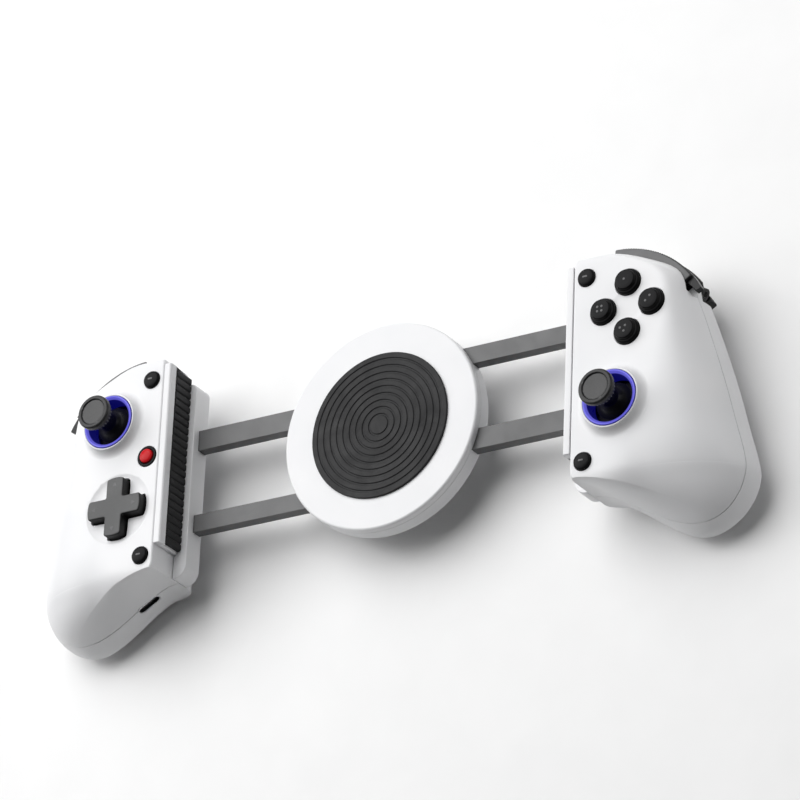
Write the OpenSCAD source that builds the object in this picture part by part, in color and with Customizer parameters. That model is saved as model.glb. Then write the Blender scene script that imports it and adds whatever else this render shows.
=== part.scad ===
// Telescopic game controller: two handles on a spring bridge that clamps what lies in the bay by its ends.
// Millimetres. The origin is the middle of the bed, X runs along the bay, Y to the upper edge
// and Z out of the face. The right handle is drawn, and the left one is its mirror image.

/* [Bay] */
// Width between the end pads at rest
bay_w = 147; // [143:0.5:150]
// Height of the handle face above the bed
face_z = 11.4; // [11:0.1:12.4]
// Radius of the rubber bed pad
bed_pad_r = 25; // [18:0.5:30]
// Thickness of the rubber bed pad
bed_pad_t = 0.8; // [0.5:0.1:1.5]
// Thickness of the rubber end pads
end_pad_t = 1.5; // [1:0.1:1.8]
// Depth of the clamp rail from the pad face to the handle
rail_d = 2.8; // [2.4:0.1:3.6]
// Height of the white lip of the clamp rail
rail_lip_h = 3.4; // [2.5:0.1:4.5]
// Upper end of the clamp rail
rail_top = 33; // [30:0.5:34]
// Lower end of the clamp rail, below the middle
rail_bottom = 30.5; // [28:0.5:34]

/* [Handle] */
// Greatest reach of the handle from its inner wall
grip_w = 53.9; // [52:0.1:57]
// Lowest point of the handle below the middle of the bay
grip_bottom = 55.4; // [54:0.1:60]
// Greatest depth of the handle's back behind the bed
grip_depth = 18.2; // [17.5:0.1:20]
// Wall of the shells
shell_wall = 2; // [1.6:0.1:2.4]
// Height of the handle's widest line at the middle of the bay
waist_z = -6; // [-7:0.1:-5]
// Height of the parting plane at the middle of the bay
parting_z = 0.2; // [0.1:0.1:0.6]
// Rise of the widest line and of the parting plane for each millimetre of Y
parting_slope = 0.12; // [0.08:0.01:0.12]
// Depth of the circuit board's upper face below the handle's face
board_depth = 8.8; // [8.5:0.1:9.4]
// Thickness of the circuit boards
board_t = 1.6; // [1:0.1:2]

/* [Controls] */
// Distance of the upper control from the inner wall
upper_x = 19.1; // [18:0.1:20]
// Height of the upper control above the middle
upper_y = 15; // [14:0.1:16]
// Distance of the lower control from the inner wall
lower_x = 14.8; // [14.5:0.1:16]
// Depth of the lower control below the middle
lower_y = 15.8; // [15:0.1:16.5]
// Outer radius of the lit ring
ring_r = 9.15; // [8.8:0.05:9.6]
// Width of the lit ring
ring_w = 1.25; // [1:0.05:1.4]
// Height of the lit ring above the face
ring_h = 3; // [2.4:0.1:3.6]
// Radius of the collar where it meets the face
collar_r = 12.4; // [11.5:0.1:13]
// Radius of the thumb cap
cap_r = 5.9; // [5:0.1:7]
// Height of the thumb cap above the face
cap_h = 11.6; // [10.5:0.1:13]
// Greatest tilt of a stick each way
stick_tilt = 15; // [10:1:16]
// Travel of a stick when it is pressed down
stick_click = 0.6; // [0.3:0.1:0.7]
// Radius of the directional pad's arm ends
dpad_r = 10.3; // [9.6:0.1:10.4]
// Width of the directional pad's arms
dpad_arm_w = 6.5; // [5.5:0.1:7]
// Height of the directional pad above the face
dpad_h = 2.5; // [2:0.1:3.5]
// Radius of the dish round the directional pad
dish_r = 12.4; // [12:0.1:12.6]
// Depth of the dish round the directional pad
dish_depth = 0.9; // [0.5:0.1:1]
// Radius of a face button
face_button_r = 4.3; // [3.8:0.1:4.5]
// Distance of each face button from the middle of the four
face_button_offset = 8.35; // [8.2:0.05:8.8]
// Height of a face button above the face
face_button_h = 2.7; // [2.5:0.1:4]
// Travel of a face button
face_button_travel = 1.4; // [0.8:0.1:1.4]
// Radius of a small button
small_button_r = 2.9; // [2.5:0.1:3]
// Height of a small button above the face
small_button_h = 1.4; // [1.2:0.1:2.2]
// Travel of a small button
small_button_travel = 0.8; // [0.4:0.1:0.8]
// Distance of the small buttons from the inner wall
small_button_x = 4.6; // [4.4:0.1:5]
// Height of the upper small button above the middle
small_button_top = 28.1; // [27.8:0.1:28.6]
// Depth of the lower small button below the middle
small_button_bottom = 34; // [33.8:0.1:35]
// Height of the red button above the middle
red_button_y = 0.8; // [0:0.1:1.6]

/* [Shoulder] */
// Distance of the shoulder's centre from the inner wall
shoulder_x = 9.6; // [9.2:0.1:10]
// Height of the shoulder's centre above the middle
shoulder_y = 4; // [3.6:0.1:4.4]
// Outer radius of the bumper
bumper_r = 34.9; // [34.5:0.1:35.5]
// Thickness of the bumper at its outer end
bumper_t = 4.4; // [4:0.1:4.6]
// Height of the bumper
bumper_h = 5.7; // [5:0.1:6]
// Depth of the shoulder pocket under the bumper's outer face
pocket_depth = 7.4; // [7.2:0.1:7.8]
// Drop of the handle's top below the highest point of the bumper's arc
shoulder_drop = 3.4; // [3:0.1:3.6]
// Length of the trigger along the shoulder
trigger_l = 26; // [24:0.5:26.5]
// Depth of the trigger from front to back
trigger_d = 10.8; // [9:0.1:12]
// Radius of the trigger pin
trigger_pin_r = 1; // [0.8:0.05:1.1]

/* [Bridge] */
// Radius of the round bridge housing
hub_r = 35.6; // [35.4:0.1:38]
// Depth of the bridge housing behind the bed
hub_depth = 10; // [9.8:0.1:12]
// Wall of the bridge housing
hub_wall = 2.2; // [1.8:0.1:2.2]
// Thickness of the telescopic arms
arm_t = 4; // [3:0.1:4.2]
// Width of the guide bars
guide_w = 6; // [5:0.1:6]
// Reach of the end brackets from the handle's inner wall
bracket_reach = 5; // [4.5:0.1:7]
// Thickness of the end brackets
bracket_t = 7.8; // [7:0.1:9]
// Module of the pinion and of the racks
gear_module = 1; // [0.9:0.02:1.02]
// Travel of each handle inwards from rest
travel_in = 14; // [8:0.5:14]
// Travel of each handle outwards from rest
travel_out = 12; // [6:0.5:12]

/* [Fits] */
// Gap between pieces that move past each other
clearance = 0.3; // [0.25:0.01:0.35]
// Radial gap of a running shaft
running = 0.04; // [0.02:0.01:0.06]
// Gap of the seams between fixed pieces
seam = 0.1; // [0.05:0.01:0.15]

/* [Hidden] */
$fn = 48;

shell_color = "whitesmoke";
black_color = "#202022";
grey_color = "#6b6c6e";
steel_color = "silver";
board_color = "#1f5a3a";

// Arc that the bumper, the trigger and the handle's top corner follow
pocket_r = bumper_r - pocket_depth;
grip_top = shoulder_y + bumper_r - shoulder_drop;

// Places along X
wall_x = bay_w / 2 + rail_d + seam;
cavity_x = wall_x + shell_wall;
upper = [wall_x + upper_x, upper_y];
lower = [wall_x + lower_x, -lower_y];
shoulder = [wall_x + shoulder_x, shoulder_y];
small_x = wall_x + small_button_x;

// Heights
inner_z = face_z - shell_wall;
board_top = face_z - board_depth;
bed_plate_z = -bed_pad_t;
ring_top = face_z + ring_h;
cap_top = face_z + cap_h;

// Cross-sections of the handle, from the top down: Y, share of the reach, share of the depth,
// drop of the face, width of the rounding on the front and on the back of the outer side
sections = [
  [grip_top, 0.36, 0.333, 0, 9, 10],
  [27, 0.66, 0.523, 0, 9, 16],
  [16, 0.74, 0.713, 0, 9, 20],
  [2, 0.82, 0.894, 0, 15, 22],
  [-12, 0.89, 0.951, 0, 21, 24],
  [-26, 0.95, 0.951, 0.1, 28, 27],
  [-34, 0.985, 0.97, 0.3, 32, 28],
  [-40, 1, 1, 4.4, 34, 28]
];
// Where the handle starts to close towards its lowest point, and where its inner wall leaves the bay
close_y = -37.3;
leave_y = -38.6;
// Place of the lowest point from the inner wall, and how fast the outer side runs to it
tip_x = 36;
outer_power = 1.15;
// Rounding of the top edge and of the back edge beside the bay
top_edge = 2.5;
top_edge_share = 0.6;
back_edge = 6;
face_edge = 0.8;
// Where the inner corners start to round towards the lower end, over which run, and their largest shares
round_from = -35.5;
round_run = 14;
inner_share = 0.4;
corner_share = 0.95;
// How far cuts run past a surface
over = 1;
// Share of the closing run at which the lower end is flat
tip_share = 0.985;
tip_y = close_y - (grip_bottom + close_y) * tip_share;

// Rings and points of the lofted handle and of its hollow
outer_rings = [15, 12];
outer_counts = [4, 8, 8, 5];
hollow_rings = [9, 7];
hollow_counts = [3, 6, 6, 4];
hollow_bottom = -48;

function clamp(value, low, high) = max(low, min(high, value));
function blend(share) = share * share * (3 - 2 * share);
function unblend(share) = 0.5 - sin(asin(1 - 2 * share) / 3);
function arc(centre, radii, from, to, count) =
  [for (i = [0:count - 1]) let (a = from + (to - from) * i / (count - 1))
    [centre[0] + radii[0] * cos(a), centre[1] + radii[1] * sin(a)]];

// Smooth value of one column of the section table at a height y
last_row = len(sections) - 1;
function row_at(y) = clamp(len([for (row = sections) if (row[0] >= y) row]) - 1, 0, last_row - 1);
function row_slope(i, column) =
  let (a = max(i - 1, 0), b = min(i + 1, last_row))
    (sections[b][column] - sections[a][column]) / (sections[b][0] - sections[a][0]);
function section_value(y, column) =
  let (
    held = clamp(y, sections[last_row][0], grip_top),
    i = row_at(held),
    run = sections[i + 1][0] - sections[i][0],
    t = (held - sections[i][0]) / run
  )
    sections[i][column] * (2 * pow(t, 3) - 3 * pow(t, 2) + 1)
    + run * row_slope(i, column) * (pow(t, 3) - 2 * pow(t, 2) + t)
    + sections[i + 1][column] * (3 * pow(t, 2) - 2 * pow(t, 3))
    + run * row_slope(i + 1, column) * (pow(t, 3) - pow(t, 2));
function face_at(y) = face_z - section_value(y, 3);
function waist_at(y) = waist_z + parting_slope * y;
function parting_at(y) = parting_z + parting_slope * y;

// One cross-section of the handle: four elliptical corners, drawn in by inset
function section_ring(y, inset, counts) =
  let (
    middle = waist_at(y),
    closing = clamp((close_y - y) / (close_y + grip_bottom), 0, 1),
    open = sqrt(1 - closing * closing),
    leaving = clamp((leave_y + inset - y) / (leave_y + grip_bottom), 0, 1),
    over = max(y - grip_top + top_edge, 0),
    drawn = inset > 0 ? 0 : top_edge - sqrt(max(top_edge * top_edge - over * over, 0)),
    reach = grip_w * section_value(y, 1),
    inner = tip_x * unblend(leaving) + inset + drawn * top_edge_share,
    outer = tip_x + (reach - tip_x) * pow(open, outer_power) - inset - drawn,
    front = middle + (face_at(y) - middle) * open - inset - drawn * top_edge_share,
    back = middle - (grip_depth * section_value(y, 2) + middle) * open + inset + drawn,
    width = outer - inner,
    round_share = blend(clamp((round_from - y) / round_run, 0, 1)),
    widest = width * inner_share,
    front_in = min(face_edge + round_share * (widest - face_edge), widest),
    front_in_h = face_edge + round_share * ((front - middle) * corner_share - face_edge),
    front_out = min(section_value(y, 4), (width - front_in) * corner_share),
    back_in = min(back_edge, widest) * (1 - round_share) + round_share * widest,
    back_low = min(back_edge, (middle - back) * corner_share),
    back_in_h = back_low + round_share * ((middle - back) * corner_share - back_low),
    back_out = min(section_value(y, 5), (width - back_in) * corner_share),
    outline = concat(
      arc([inner + front_in, front - front_in_h], [front_in, front_in_h], 180, 90, counts[0]),
      arc([outer - front_out, middle], [front_out, front - middle], 90, 0, counts[1]),
      arc([outer - back_out, middle], [back_out, middle - back], -2, -90, counts[2]),
      arc([inner + back_in, back + back_in_h], [back_in, back_in_h], -90, -180, counts[3])
    )
  )
    [for (p = outline) [wall_x + p[0], y, p[1]]];

// A closed solid through a list of rings with equal point counts
module loft(rings) {
  count = len(rings[0]);
  last = len(rings) - 1;
  points = [for (ring = rings) for (p = ring) p];
  sides = [
    for (i = [0:last - 1]) for (j = [0:count - 1])
      let (a = i * count + j, b = i * count + (j + 1) % count)
        for (face = [[a, b, b + count], [a, b + count, a + count]]) face
  ];
  start = [for (j = [count - 1:-1:0]) j];
  end = [for (j = [0:count - 1]) last * count + j];
  polyhedron(points, concat([start], sides, [end]));
}

function spaced(from, to, count) =
  [for (i = [0:count - 1]) to + (from - to) * (1 + cos(180 * i / (count - 1))) / 2];

// Heights of the rings, closest where the handle leaves the bay and at both ends
function levels(top, turn, bottom, rings) =
  concat(spaced(top, turn, rings[0]), [for (i = [1:rings[1] - 1]) spaced(turn, bottom, rings[1])[i]]);

module handle_solid() {
  loft([for (y = levels(grip_top, leave_y, tip_y, outer_rings)) section_ring(y, 0, outer_counts)]);
}

// The hollow leaves the floor and the ends of the shoulder pocket solid
module handle_hollow() {
  difference() {
    loft([for (y = levels(grip_top - shell_wall, leave_y + shell_wall, hollow_bottom, hollow_rings))
      section_ring(y, shell_wall, hollow_counts)]);
    shoulder_sector(pocket_r - shell_wall, pocket_from - pocket_wall_angle, pocket_to + pocket_wall_angle,
      -grip_depth * 2, face_z * 2);
  }
}

// Half of space in front of the parting plane (side 1) or behind it (side -1)
half_size = 400;
module parting_half(side) {
  translate([0, 0, parting_z])
    rotate([atan(parting_slope), 0, 0])
      translate([-half_size / 2, -half_size / 2, side > 0 ? seam / 2 : -half_size - seam / 2])
        cube(half_size);
}

// Shoulder: an arc about a centre inside the handle
shoulder_mid = 57;
pocket_from = 19;
pocket_to = 92;
pocket_wall_angle = 4;
bumper_low = 0.5;
pocket_roof = bumper_low + bumper_h + clearance + seam;
module shoulder_sector(radius, from, to, low, high) {
  translate([shoulder[0], shoulder[1], low])
    linear_extrude(high - low)
      difference() {
        polygon(concat([[0, 0]], [for (a = [from, (from + to) / 2, to]) 2 * grip_w * [cos(a), sin(a)]]));
        circle(r = radius, $fn = 96);
      }
}
module at_shoulder() {
  translate([shoulder[0], shoulder[1], 0])
    rotate([0, 0, shoulder_mid])
      children();
}

// Screws of a handle: X from the inner wall, Y, top of the front post, bottom of the back post, head seat
screw_places = [
  [36.6, -8, 7.2, -14.2, -11.8],
  [27.6, -32, 9.2, -16, -13.5],
  [5.8, -27.4, 10, -16, -13]
];
screw_r = 1.15;
screw_hole_r = screw_r + seam / 2;
screw_head_r = 2.1;
screw_head_t = 1.4;
screw_bite = 5;
post_r = 2.4;
post_step_r = 2.7;

module front_posts() {
  for (s = screw_places)
    let (foot = parting_at(s[1]) + seam) {
      translate([wall_x + s[0], s[1], foot]) cylinder(r = post_r, h = s[2] - foot);
      translate([wall_x + s[0], s[1], board_top + seam])
        cylinder(r = post_step_r, h = s[2] - board_top - seam);
    }
}
module back_posts() {
  for (s = screw_places)
    let (head = parting_at(s[1]) - seam)
      translate([wall_x + s[0], s[1], s[3]]) cylinder(r = post_step_r, h = head - s[3]);
}
module screw_holes() {
  for (s = screw_places)
    translate([wall_x + s[0], s[1], 0]) {
      translate([0, 0, s[4] - seam])
        cylinder(r = screw_hole_r, h = parting_at(s[1]) + screw_bite + seam * 2 - s[4]);
      translate([0, 0, s[4] - grip_depth]) cylinder(r = screw_head_r + seam, h = grip_depth);
    }
}
module handle_screws() {
  color(steel_color)
    for (s = screw_places)
      translate([wall_x + s[0], s[1], 0]) {
        translate([0, 0, s[4] - screw_head_t]) cylinder(r = screw_head_r, h = screw_head_t);
        translate([0, 0, s[4] - screw_head_t / 2])
          cylinder(r = screw_r, h = parting_at(s[1]) + screw_bite + screw_head_t / 2 - s[4]);
      }
}

// Sticks: heights and radii follow the ring that they move in
ring_in = ring_r - ring_w;
ring_flange_w = 1;
ring_flange_r = ring_r + ring_flange_w;
ring_flange_t = 1;
ring_fit = 0.15;
ring_bevel = 0.6;
ring_bottom = inner_z - 2 * seam - ring_flange_t;
pivot_h = 2.9;
pivot_z = board_top + pivot_h;
dome_r = norm([ring_in, ring_bottom - pivot_z]) - clearance;
dome_wall = 1.2;
dome_in = dome_r - dome_wall;
dome_cover = 67;
dome_cut_angle = dome_cover - stick_tilt;
dome_cut_z = dome_r * cos(dome_cut_angle);
turret_r = 5.2;
turret_z = pivot_z + sqrt(pow(dome_in - stick_click - clearance, 2) - turret_r * turret_r);
base_half = 7.2;
base_rise = 1.5;
base_top = pivot_z + base_rise;
base_bore_r = 4.25;
base_floor = 0.5;
shaft_r = 1.3;
shaft_below = 1.3;
yoke_in = 2.75;
yoke_out = 3.75;
yoke_half = 0.95;
yoke_axle_r = 0.8;
pivot_ball_r = 2.3;
pivot_axle_r = 0.7;
neck_r = 3.2;
cap_flange_t = 2;
cap_tier_t = 1.6;
cap_edge = 0.7;
cap_tier_r = cap_r - cap_edge;
cap_rim_w = 1.5;
cap_inset_r = cap_r - cap_rim_w;
cap_inset_depth = 0.5;
cap_bottom = cap_top - cap_flange_t - cap_tier_t;
cap_socket = 1.6;
collar_top_w = 0.5;
collar_step = 0.3;
collar_end_angle = 190;

module along_x(r, h) { rotate([0, 90, 0]) cylinder(r = r, h = h, center = true); }
module along_y(r, h) { rotate([90, 0, 0]) cylinder(r = r, h = h, center = true); }

module stick_base() {
  color(black_color)
    difference() {
      union() {
        translate([-base_half, -base_half, board_top])
          cube([2 * base_half, 2 * base_half, base_top - board_top]);
        translate([0, 0, board_top]) cylinder(r = turret_r, h = turret_z - board_top);
      }
      translate([0, 0, board_top + base_floor]) cylinder(r = base_bore_r, h = cap_top);
      translate([0, 0, pivot_z]) along_x(yoke_axle_r + running, 3 * base_half);
    }
}
module yoke() {
  color(steel_color)
    translate([0, 0, pivot_z])
      difference() {
        union() {
          cylinder(r = yoke_out, h = 2 * yoke_half, center = true);
          along_x(yoke_axle_r, 2 * base_half - 2 * clearance);
        }
        cylinder(r = yoke_in, h = 4 * yoke_half, center = true);
        along_y(pivot_axle_r + running, 3 * yoke_out);
      }
}
module pivot() {
  color(grey_color)
    translate([0, 0, pivot_z])
      difference() {
        union() {
          sphere(r = pivot_ball_r);
          along_y(pivot_axle_r, 2 * yoke_out - clearance);
        }
        cylinder(r = shaft_r + running, h = 3 * pivot_ball_r, center = true);
      }
}
// Shaft with the domed skirt that hides the opening of the ring
module stick() {
  color(black_color)
    translate([0, 0, pivot_z]) {
      difference() {
        sphere(r = dome_r, $fn = 64);
        sphere(r = dome_in, $fn = 64);
        translate([-2 * dome_r, -2 * dome_r, dome_cut_z - 4 * dome_r]) cube(4 * dome_r);
      }
      translate([0, 0, -shaft_below]) cylinder(r = shaft_r, h = dome_r + shaft_below);
      translate([0, 0, dome_in])
        cylinder(r = neck_r, h = cap_bottom + cap_socket - pivot_z - dome_in);
    }
}
module thumb_cap() {
  flange_bottom = cap_top - cap_flange_t;
  color(black_color)
    difference() {
      rotate_extrude()
        polygon(concat(
          [[0, cap_bottom], [cap_tier_r - cap_edge, cap_bottom], [cap_tier_r, cap_bottom + cap_edge]],
          [[cap_tier_r, flange_bottom], [cap_r - cap_edge / 2, flange_bottom]],
          [[cap_r, flange_bottom + cap_edge / 2]],
          arc([cap_r - cap_edge, cap_top - cap_edge], [cap_edge, cap_edge], 0, 90, 5),
          [[cap_inset_r, cap_top], [cap_inset_r - cap_inset_depth, cap_top - cap_inset_depth]],
          [[0, cap_top - cap_inset_depth]]
        ));
      translate([0, 0, cap_bottom - over])
        cylinder(r = neck_r + seam / 2, h = cap_socket + over + seam / 2);
    }
}
module light_ring() {
  color("#6f6df0")
    difference() {
      union() {
        translate([0, 0, ring_bottom]) cylinder(r = ring_r, h = ring_top - ring_bottom);
        translate([0, 0, ring_bottom]) cylinder(r = ring_flange_r, h = ring_flange_t);
      }
      translate([0, 0, ring_bottom - over]) cylinder(r = ring_in, h = ring_top - ring_bottom + 2 * over);
      translate([0, 0, ring_top - ring_w / 2])
        cylinder(r1 = ring_in, r2 = ring_in + ring_w * ring_bevel, h = ring_w / 2 + seam / 10);
    }
}
// Raised collar of the front shell round a stick
module collar() {
  edge = ring_r + ring_fit;
  rotate_extrude()
    polygon(concat(
      [[edge, inner_z], [collar_r, inner_z]],
      arc([collar_r, ring_top], [collar_r - edge - collar_top_w, ring_h], 270, collar_end_angle, 6),
      [[edge + collar_top_w, ring_top - collar_step], [edge, ring_top - collar_step]]
    ));
}
module ring_hole() {
  translate([0, 0, inner_z - shell_wall]) cylinder(r = ring_r + ring_fit, h = ring_h + 3 * shell_wall);
}

// Directional pad: a cross with arm ends on a circle, rocking on a peg with a ball foot
dpad_rock = 3.5;
dpad_gap = 0.6;
dpad_flange_w = 0.7;
dpad_flange_r = dpad_r + dpad_flange_w;
dpad_flange_t = 1;
dpad_face_fall = 0.45;
dpad_flange_top = inner_z - dpad_face_fall - dpad_flange_r * sin(dpad_rock * sqrt(2));
dpad_nub_r = 1.5;
dpad_nub_at = 6.5;
dpad_nub_h = 2.6;
dpad_nub_bottom = board_top + dpad_nub_h;
dpad_peg_r = 1.4;
dpad_ball_r = 2;
dpad_ball_z = board_top + seam / 2 + dpad_ball_r;
dpad_peg_top = dpad_flange_top - dpad_flange_t / 2;
dpad_bore_gap = (dpad_peg_top - dpad_ball_z) * sin(dpad_rock) + running;
dpad_draft = 0.5;
membrane_t = 0.6;
membrane_dome_r = 2;
membrane_slope = 0.4;
membrane_dome_h = 1.6;

module membrane_dome() {
  foot_r = membrane_dome_r + membrane_slope;
  cylinder(r1 = foot_r, r2 = membrane_dome_r - membrane_slope, h = membrane_dome_h);
}
module cross_outline(r, w) {
  intersection() {
    circle(r = r, $fn = 96);
    union() {
      square([2 * r, w], center = true);
      square([w, 2 * r], center = true);
    }
  }
}
module dpad() {
  color(grey_color)
    difference() {
      union() {
        translate([0, 0, dpad_flange_top - dpad_flange_t / 2])
          linear_extrude(face_z + dpad_h - dpad_flange_top + dpad_flange_t / 2 - dpad_draft)
            cross_outline(dpad_r, dpad_arm_w);
        translate([0, 0, dpad_flange_top])
          linear_extrude(face_z + dpad_h - dpad_flange_top)
            cross_outline(dpad_r - dpad_draft, dpad_arm_w - 2 * dpad_draft);
        translate([0, 0, dpad_flange_top - dpad_flange_t]) cylinder(r = dpad_flange_r, h = dpad_flange_t);
        for (a = [0:90:270])
          rotate([0, 0, a])
            translate([dpad_nub_at, 0, dpad_nub_bottom])
              cylinder(r = dpad_nub_r, h = dpad_flange_top - dpad_flange_t / 2 - dpad_nub_bottom);
      }
      translate([0, 0, board_top])
        cylinder(r = dpad_peg_r + dpad_bore_gap, h = dpad_peg_top + dpad_bore_gap - board_top);
      sphere_seat();
    }
}
module sphere_seat() { translate([0, 0, dpad_ball_z]) sphere(r = dpad_ball_r + clearance); }
module dpad_pivot() {
  color(grey_color)
    translate([0, 0, dpad_ball_z]) {
      sphere(r = dpad_ball_r);
      cylinder(r = dpad_peg_r, h = dpad_peg_top - dpad_ball_z);
    }
}
module dpad_membrane() {
  color("dimgray")
    difference() {
      union() {
        translate([0, 0, board_top]) cylinder(r = dpad_flange_r, h = membrane_t);
        for (a = [0:90:270])
          rotate([0, 0, a])
            translate([dpad_nub_at, 0, board_top])
              membrane_dome();
      }
      translate([0, 0, board_top - over])
        cylinder(r = dpad_ball_r + 2 * clearance, h = membrane_t + 2 * over);
    }
}
module dpad_hole() {
  translate([0, 0, inner_z - shell_wall])
    linear_extrude(2 * shell_wall + over)
      cross_outline(dpad_r + dpad_gap, dpad_arm_w + 2 * dpad_gap);
  translate([0, 0, face_z - dish_depth])
    cylinder(r1 = dish_r - dish_depth, r2 = dish_r, h = dish_depth + seam / 10);
}

// Face buttons: two-step domes with a flange under the shell
button_gap = 0.2;
button_flange_w = 0.7;
button_flange_r = face_button_r + button_flange_w;
button_flange_t = 1.2;
button_flange_top = inner_z - clearance;
button_edge = 0.6;
button_step_h = 1.5;
button_step_w = 0.9;
button_step_r = face_button_r - button_step_w;
button_dome_angle = 25;
button_foot_r = 2;
button_foot_z = board_top + membrane_dome_h + face_button_travel + seam;
compass = [["north", 90], ["east", 0], ["south", 270], ["west", 180]];

module face_button(angle) {
  low = button_flange_top - button_flange_t;
  step_z = face_z + face_button_h - button_step_h;
  edge = button_edge;
  color(black_color)
    translate([upper[0], upper[1], 0])
      rotate([0, 0, angle])
        translate([face_button_offset, 0, 0])
          rotate_extrude()
            polygon(concat(
              [[0, button_foot_z], [button_foot_r, button_foot_z], [button_foot_r, low]],
              [[button_flange_r, low], [button_flange_r, button_flange_top]],
              [[face_button_r, button_flange_top]],
              arc([face_button_r - edge, step_z - edge], [edge, edge], 0, 90, 4),
              [[button_step_r, step_z]],
              arc([0, step_z], [button_step_r, button_step_h], button_dome_angle, 90, 6)
            ));
}
// Holes through the face, with room for the flanges beside the shoulder
module face_button_holes() {
  room = button_flange_t + face_button_travel + 2 * clearance;
  translate([upper[0], upper[1], 0])
    for (c = compass)
      rotate([0, 0, c[1]])
        translate([face_button_offset, 0, inner_z]) {
          translate([0, 0, -shell_wall]) cylinder(r = face_button_r + button_gap, h = 3 * shell_wall);
          translate([0, 0, -room]) cylinder(r = button_flange_r + clearance, h = room);
        }
}
// Shallow diamond between the four buttons
diamond_depth = 0.5;
diamond_side = face_button_offset * sqrt(2);
module diamond_recess() {
  translate([upper[0], upper[1], face_z - diamond_depth])
    rotate([0, 0, 45])
      translate([-diamond_side / 2, -diamond_side / 2, 0])
        cube([diamond_side, diamond_side, 2]);
}
membrane_disc_r = 3.5;
module button_membrane() {
  color("dimgray")
    translate([upper[0], upper[1], board_top]) {
      for (c = compass)
        rotate([0, 0, c[1]])
          translate([face_button_offset, 0, 0]) {
            cylinder(r = membrane_disc_r, h = membrane_t);
            membrane_dome();
          }
      rotate([0, 0, 45])
        translate([-diamond_side / 2, -diamond_side / 2, 0])
          cube([diamond_side, diamond_side, membrane_t]);
    }
}

// Small buttons: the flange has a flat beside the inner wall and lies below the lowest face over it
small_flange_w = 0.8;
small_flange_r = small_button_r + small_flange_w;
small_flange_t = 1.2;
small_flat = cavity_x + seam;
small_button_low = -small_button_bottom;
small_stem_r = 1.5;
small_side_share = 0.4;
small_dome_angle = 18;
bezel_w = 0.55;
bezel_h = 0.3;
function flange_top(y) = face_at(y - small_flange_r) - shell_wall - clearance;
module small_button(y, shade) {
  top = face_at(y);
  under = flange_top(y);
  low = under - small_flange_t;
  side_top = top + small_button_h * small_side_share;
  stem_z = board_top + small_button_travel + clearance;
  color(shade) {
    translate([small_x, y, 0])
      rotate_extrude()
        polygon(concat(
          [[0, low], [small_x - small_flat, low], [small_x - small_flat, under]],
          [[small_button_r, under], [small_button_r, side_top]],
          arc([0, side_top], [small_button_r, top + small_button_h - side_top], small_dome_angle, 90, 6)
        ));
    intersection() {
      translate([small_x, y, low]) cylinder(r = small_flange_r, h = small_flange_t);
      translate([small_flat, y - small_flange_r, low])
        cube([2 * small_flange_r, 2 * small_flange_r, small_flange_t]);
    }
    translate([small_x, y, stem_z]) cylinder(r = small_stem_r, h = under - stem_z);
  }
}
// Hole through the face, with room for the flange
module small_button_hole(y) {
  low = flange_top(y) - small_button_travel;
  room = small_flange_t + small_button_travel + 2 * clearance;
  room_r = small_flange_r + clearance;
  translate([small_x, y, low]) cylinder(r = small_button_r + button_gap, h = face_z + over - low);
  intersection() {
    translate([small_x, y, flange_top(y) + clearance - room]) cylinder(r = room_r, h = room);
    translate([cavity_x, y - room_r, 0]) cube([2 * room_r, 2 * room_r, face_z]);
  }
}
module red_button_bezel() {
  color(black_color)
    translate([small_x, red_button_y, face_z - shell_wall / 2 + seam])
      difference() {
        cylinder(r = small_button_r + button_gap + bezel_w, h = shell_wall / 2 + bezel_h - seam);
        translate([0, 0, -over]) cylinder(r = small_button_r + button_gap, h = shell_wall + 2 * over);
      }
}
module bezel_seat() {
  translate([small_x, red_button_y, face_z - shell_wall / 2])
    cylinder(r = small_button_r + button_gap + bezel_w + seam / 2, h = shell_wall);
}

// Bumper: a crescent that thins towards the moulded pin that it turns on, with a raised outer end
bumper_from = 22;
bumper_to = 87;
bumper_pin_angle = 84;
bumper_pin_r = 1;
bumper_lug_r = 1.9;
bumper_pin_at = bumper_r - bumper_t;
bumper_shift = 1.5;
bumper_end_to = 31;
bumper_end_rise = 0.9;
module bumper_arc(radius, from, to) {
  span = [from, (from + to) / 2, to];
  inner_r = bumper_r - bumper_t - bumper_shift * sin(bumper_from);
  intersection() {
    difference() {
      circle(r = radius, $fn = 128);
      translate([0, bumper_shift]) circle(r = inner_r, $fn = 128);
    }
    polygon(concat([[0, 0]], [for (a = span) 2 * bumper_r * [cos(a), sin(a)]]));
  }
}
module bumper() {
  color(grey_color)
    translate([shoulder[0], shoulder[1], bumper_low])
      linear_extrude(bumper_h)
        difference() {
          union() {
            bumper_arc(bumper_r, bumper_from, bumper_to);
            bumper_arc(bumper_r + bumper_end_rise, bumper_from, bumper_end_to);
            rotate(bumper_pin_angle) translate([bumper_pin_at, 0]) circle(r = bumper_lug_r);
          }
          rotate(bumper_pin_angle) translate([bumper_pin_at, 0]) circle(r = bumper_pin_r + running);
        }
}
module bumper_pin() {
  translate([shoulder[0], shoulder[1], bumper_low + seam])
    rotate([0, 0, bumper_pin_angle])
      translate([bumper_pin_at, 0, 0])
        cylinder(r = bumper_pin_r, h = pocket_roof + over - bumper_low);
}

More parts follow.
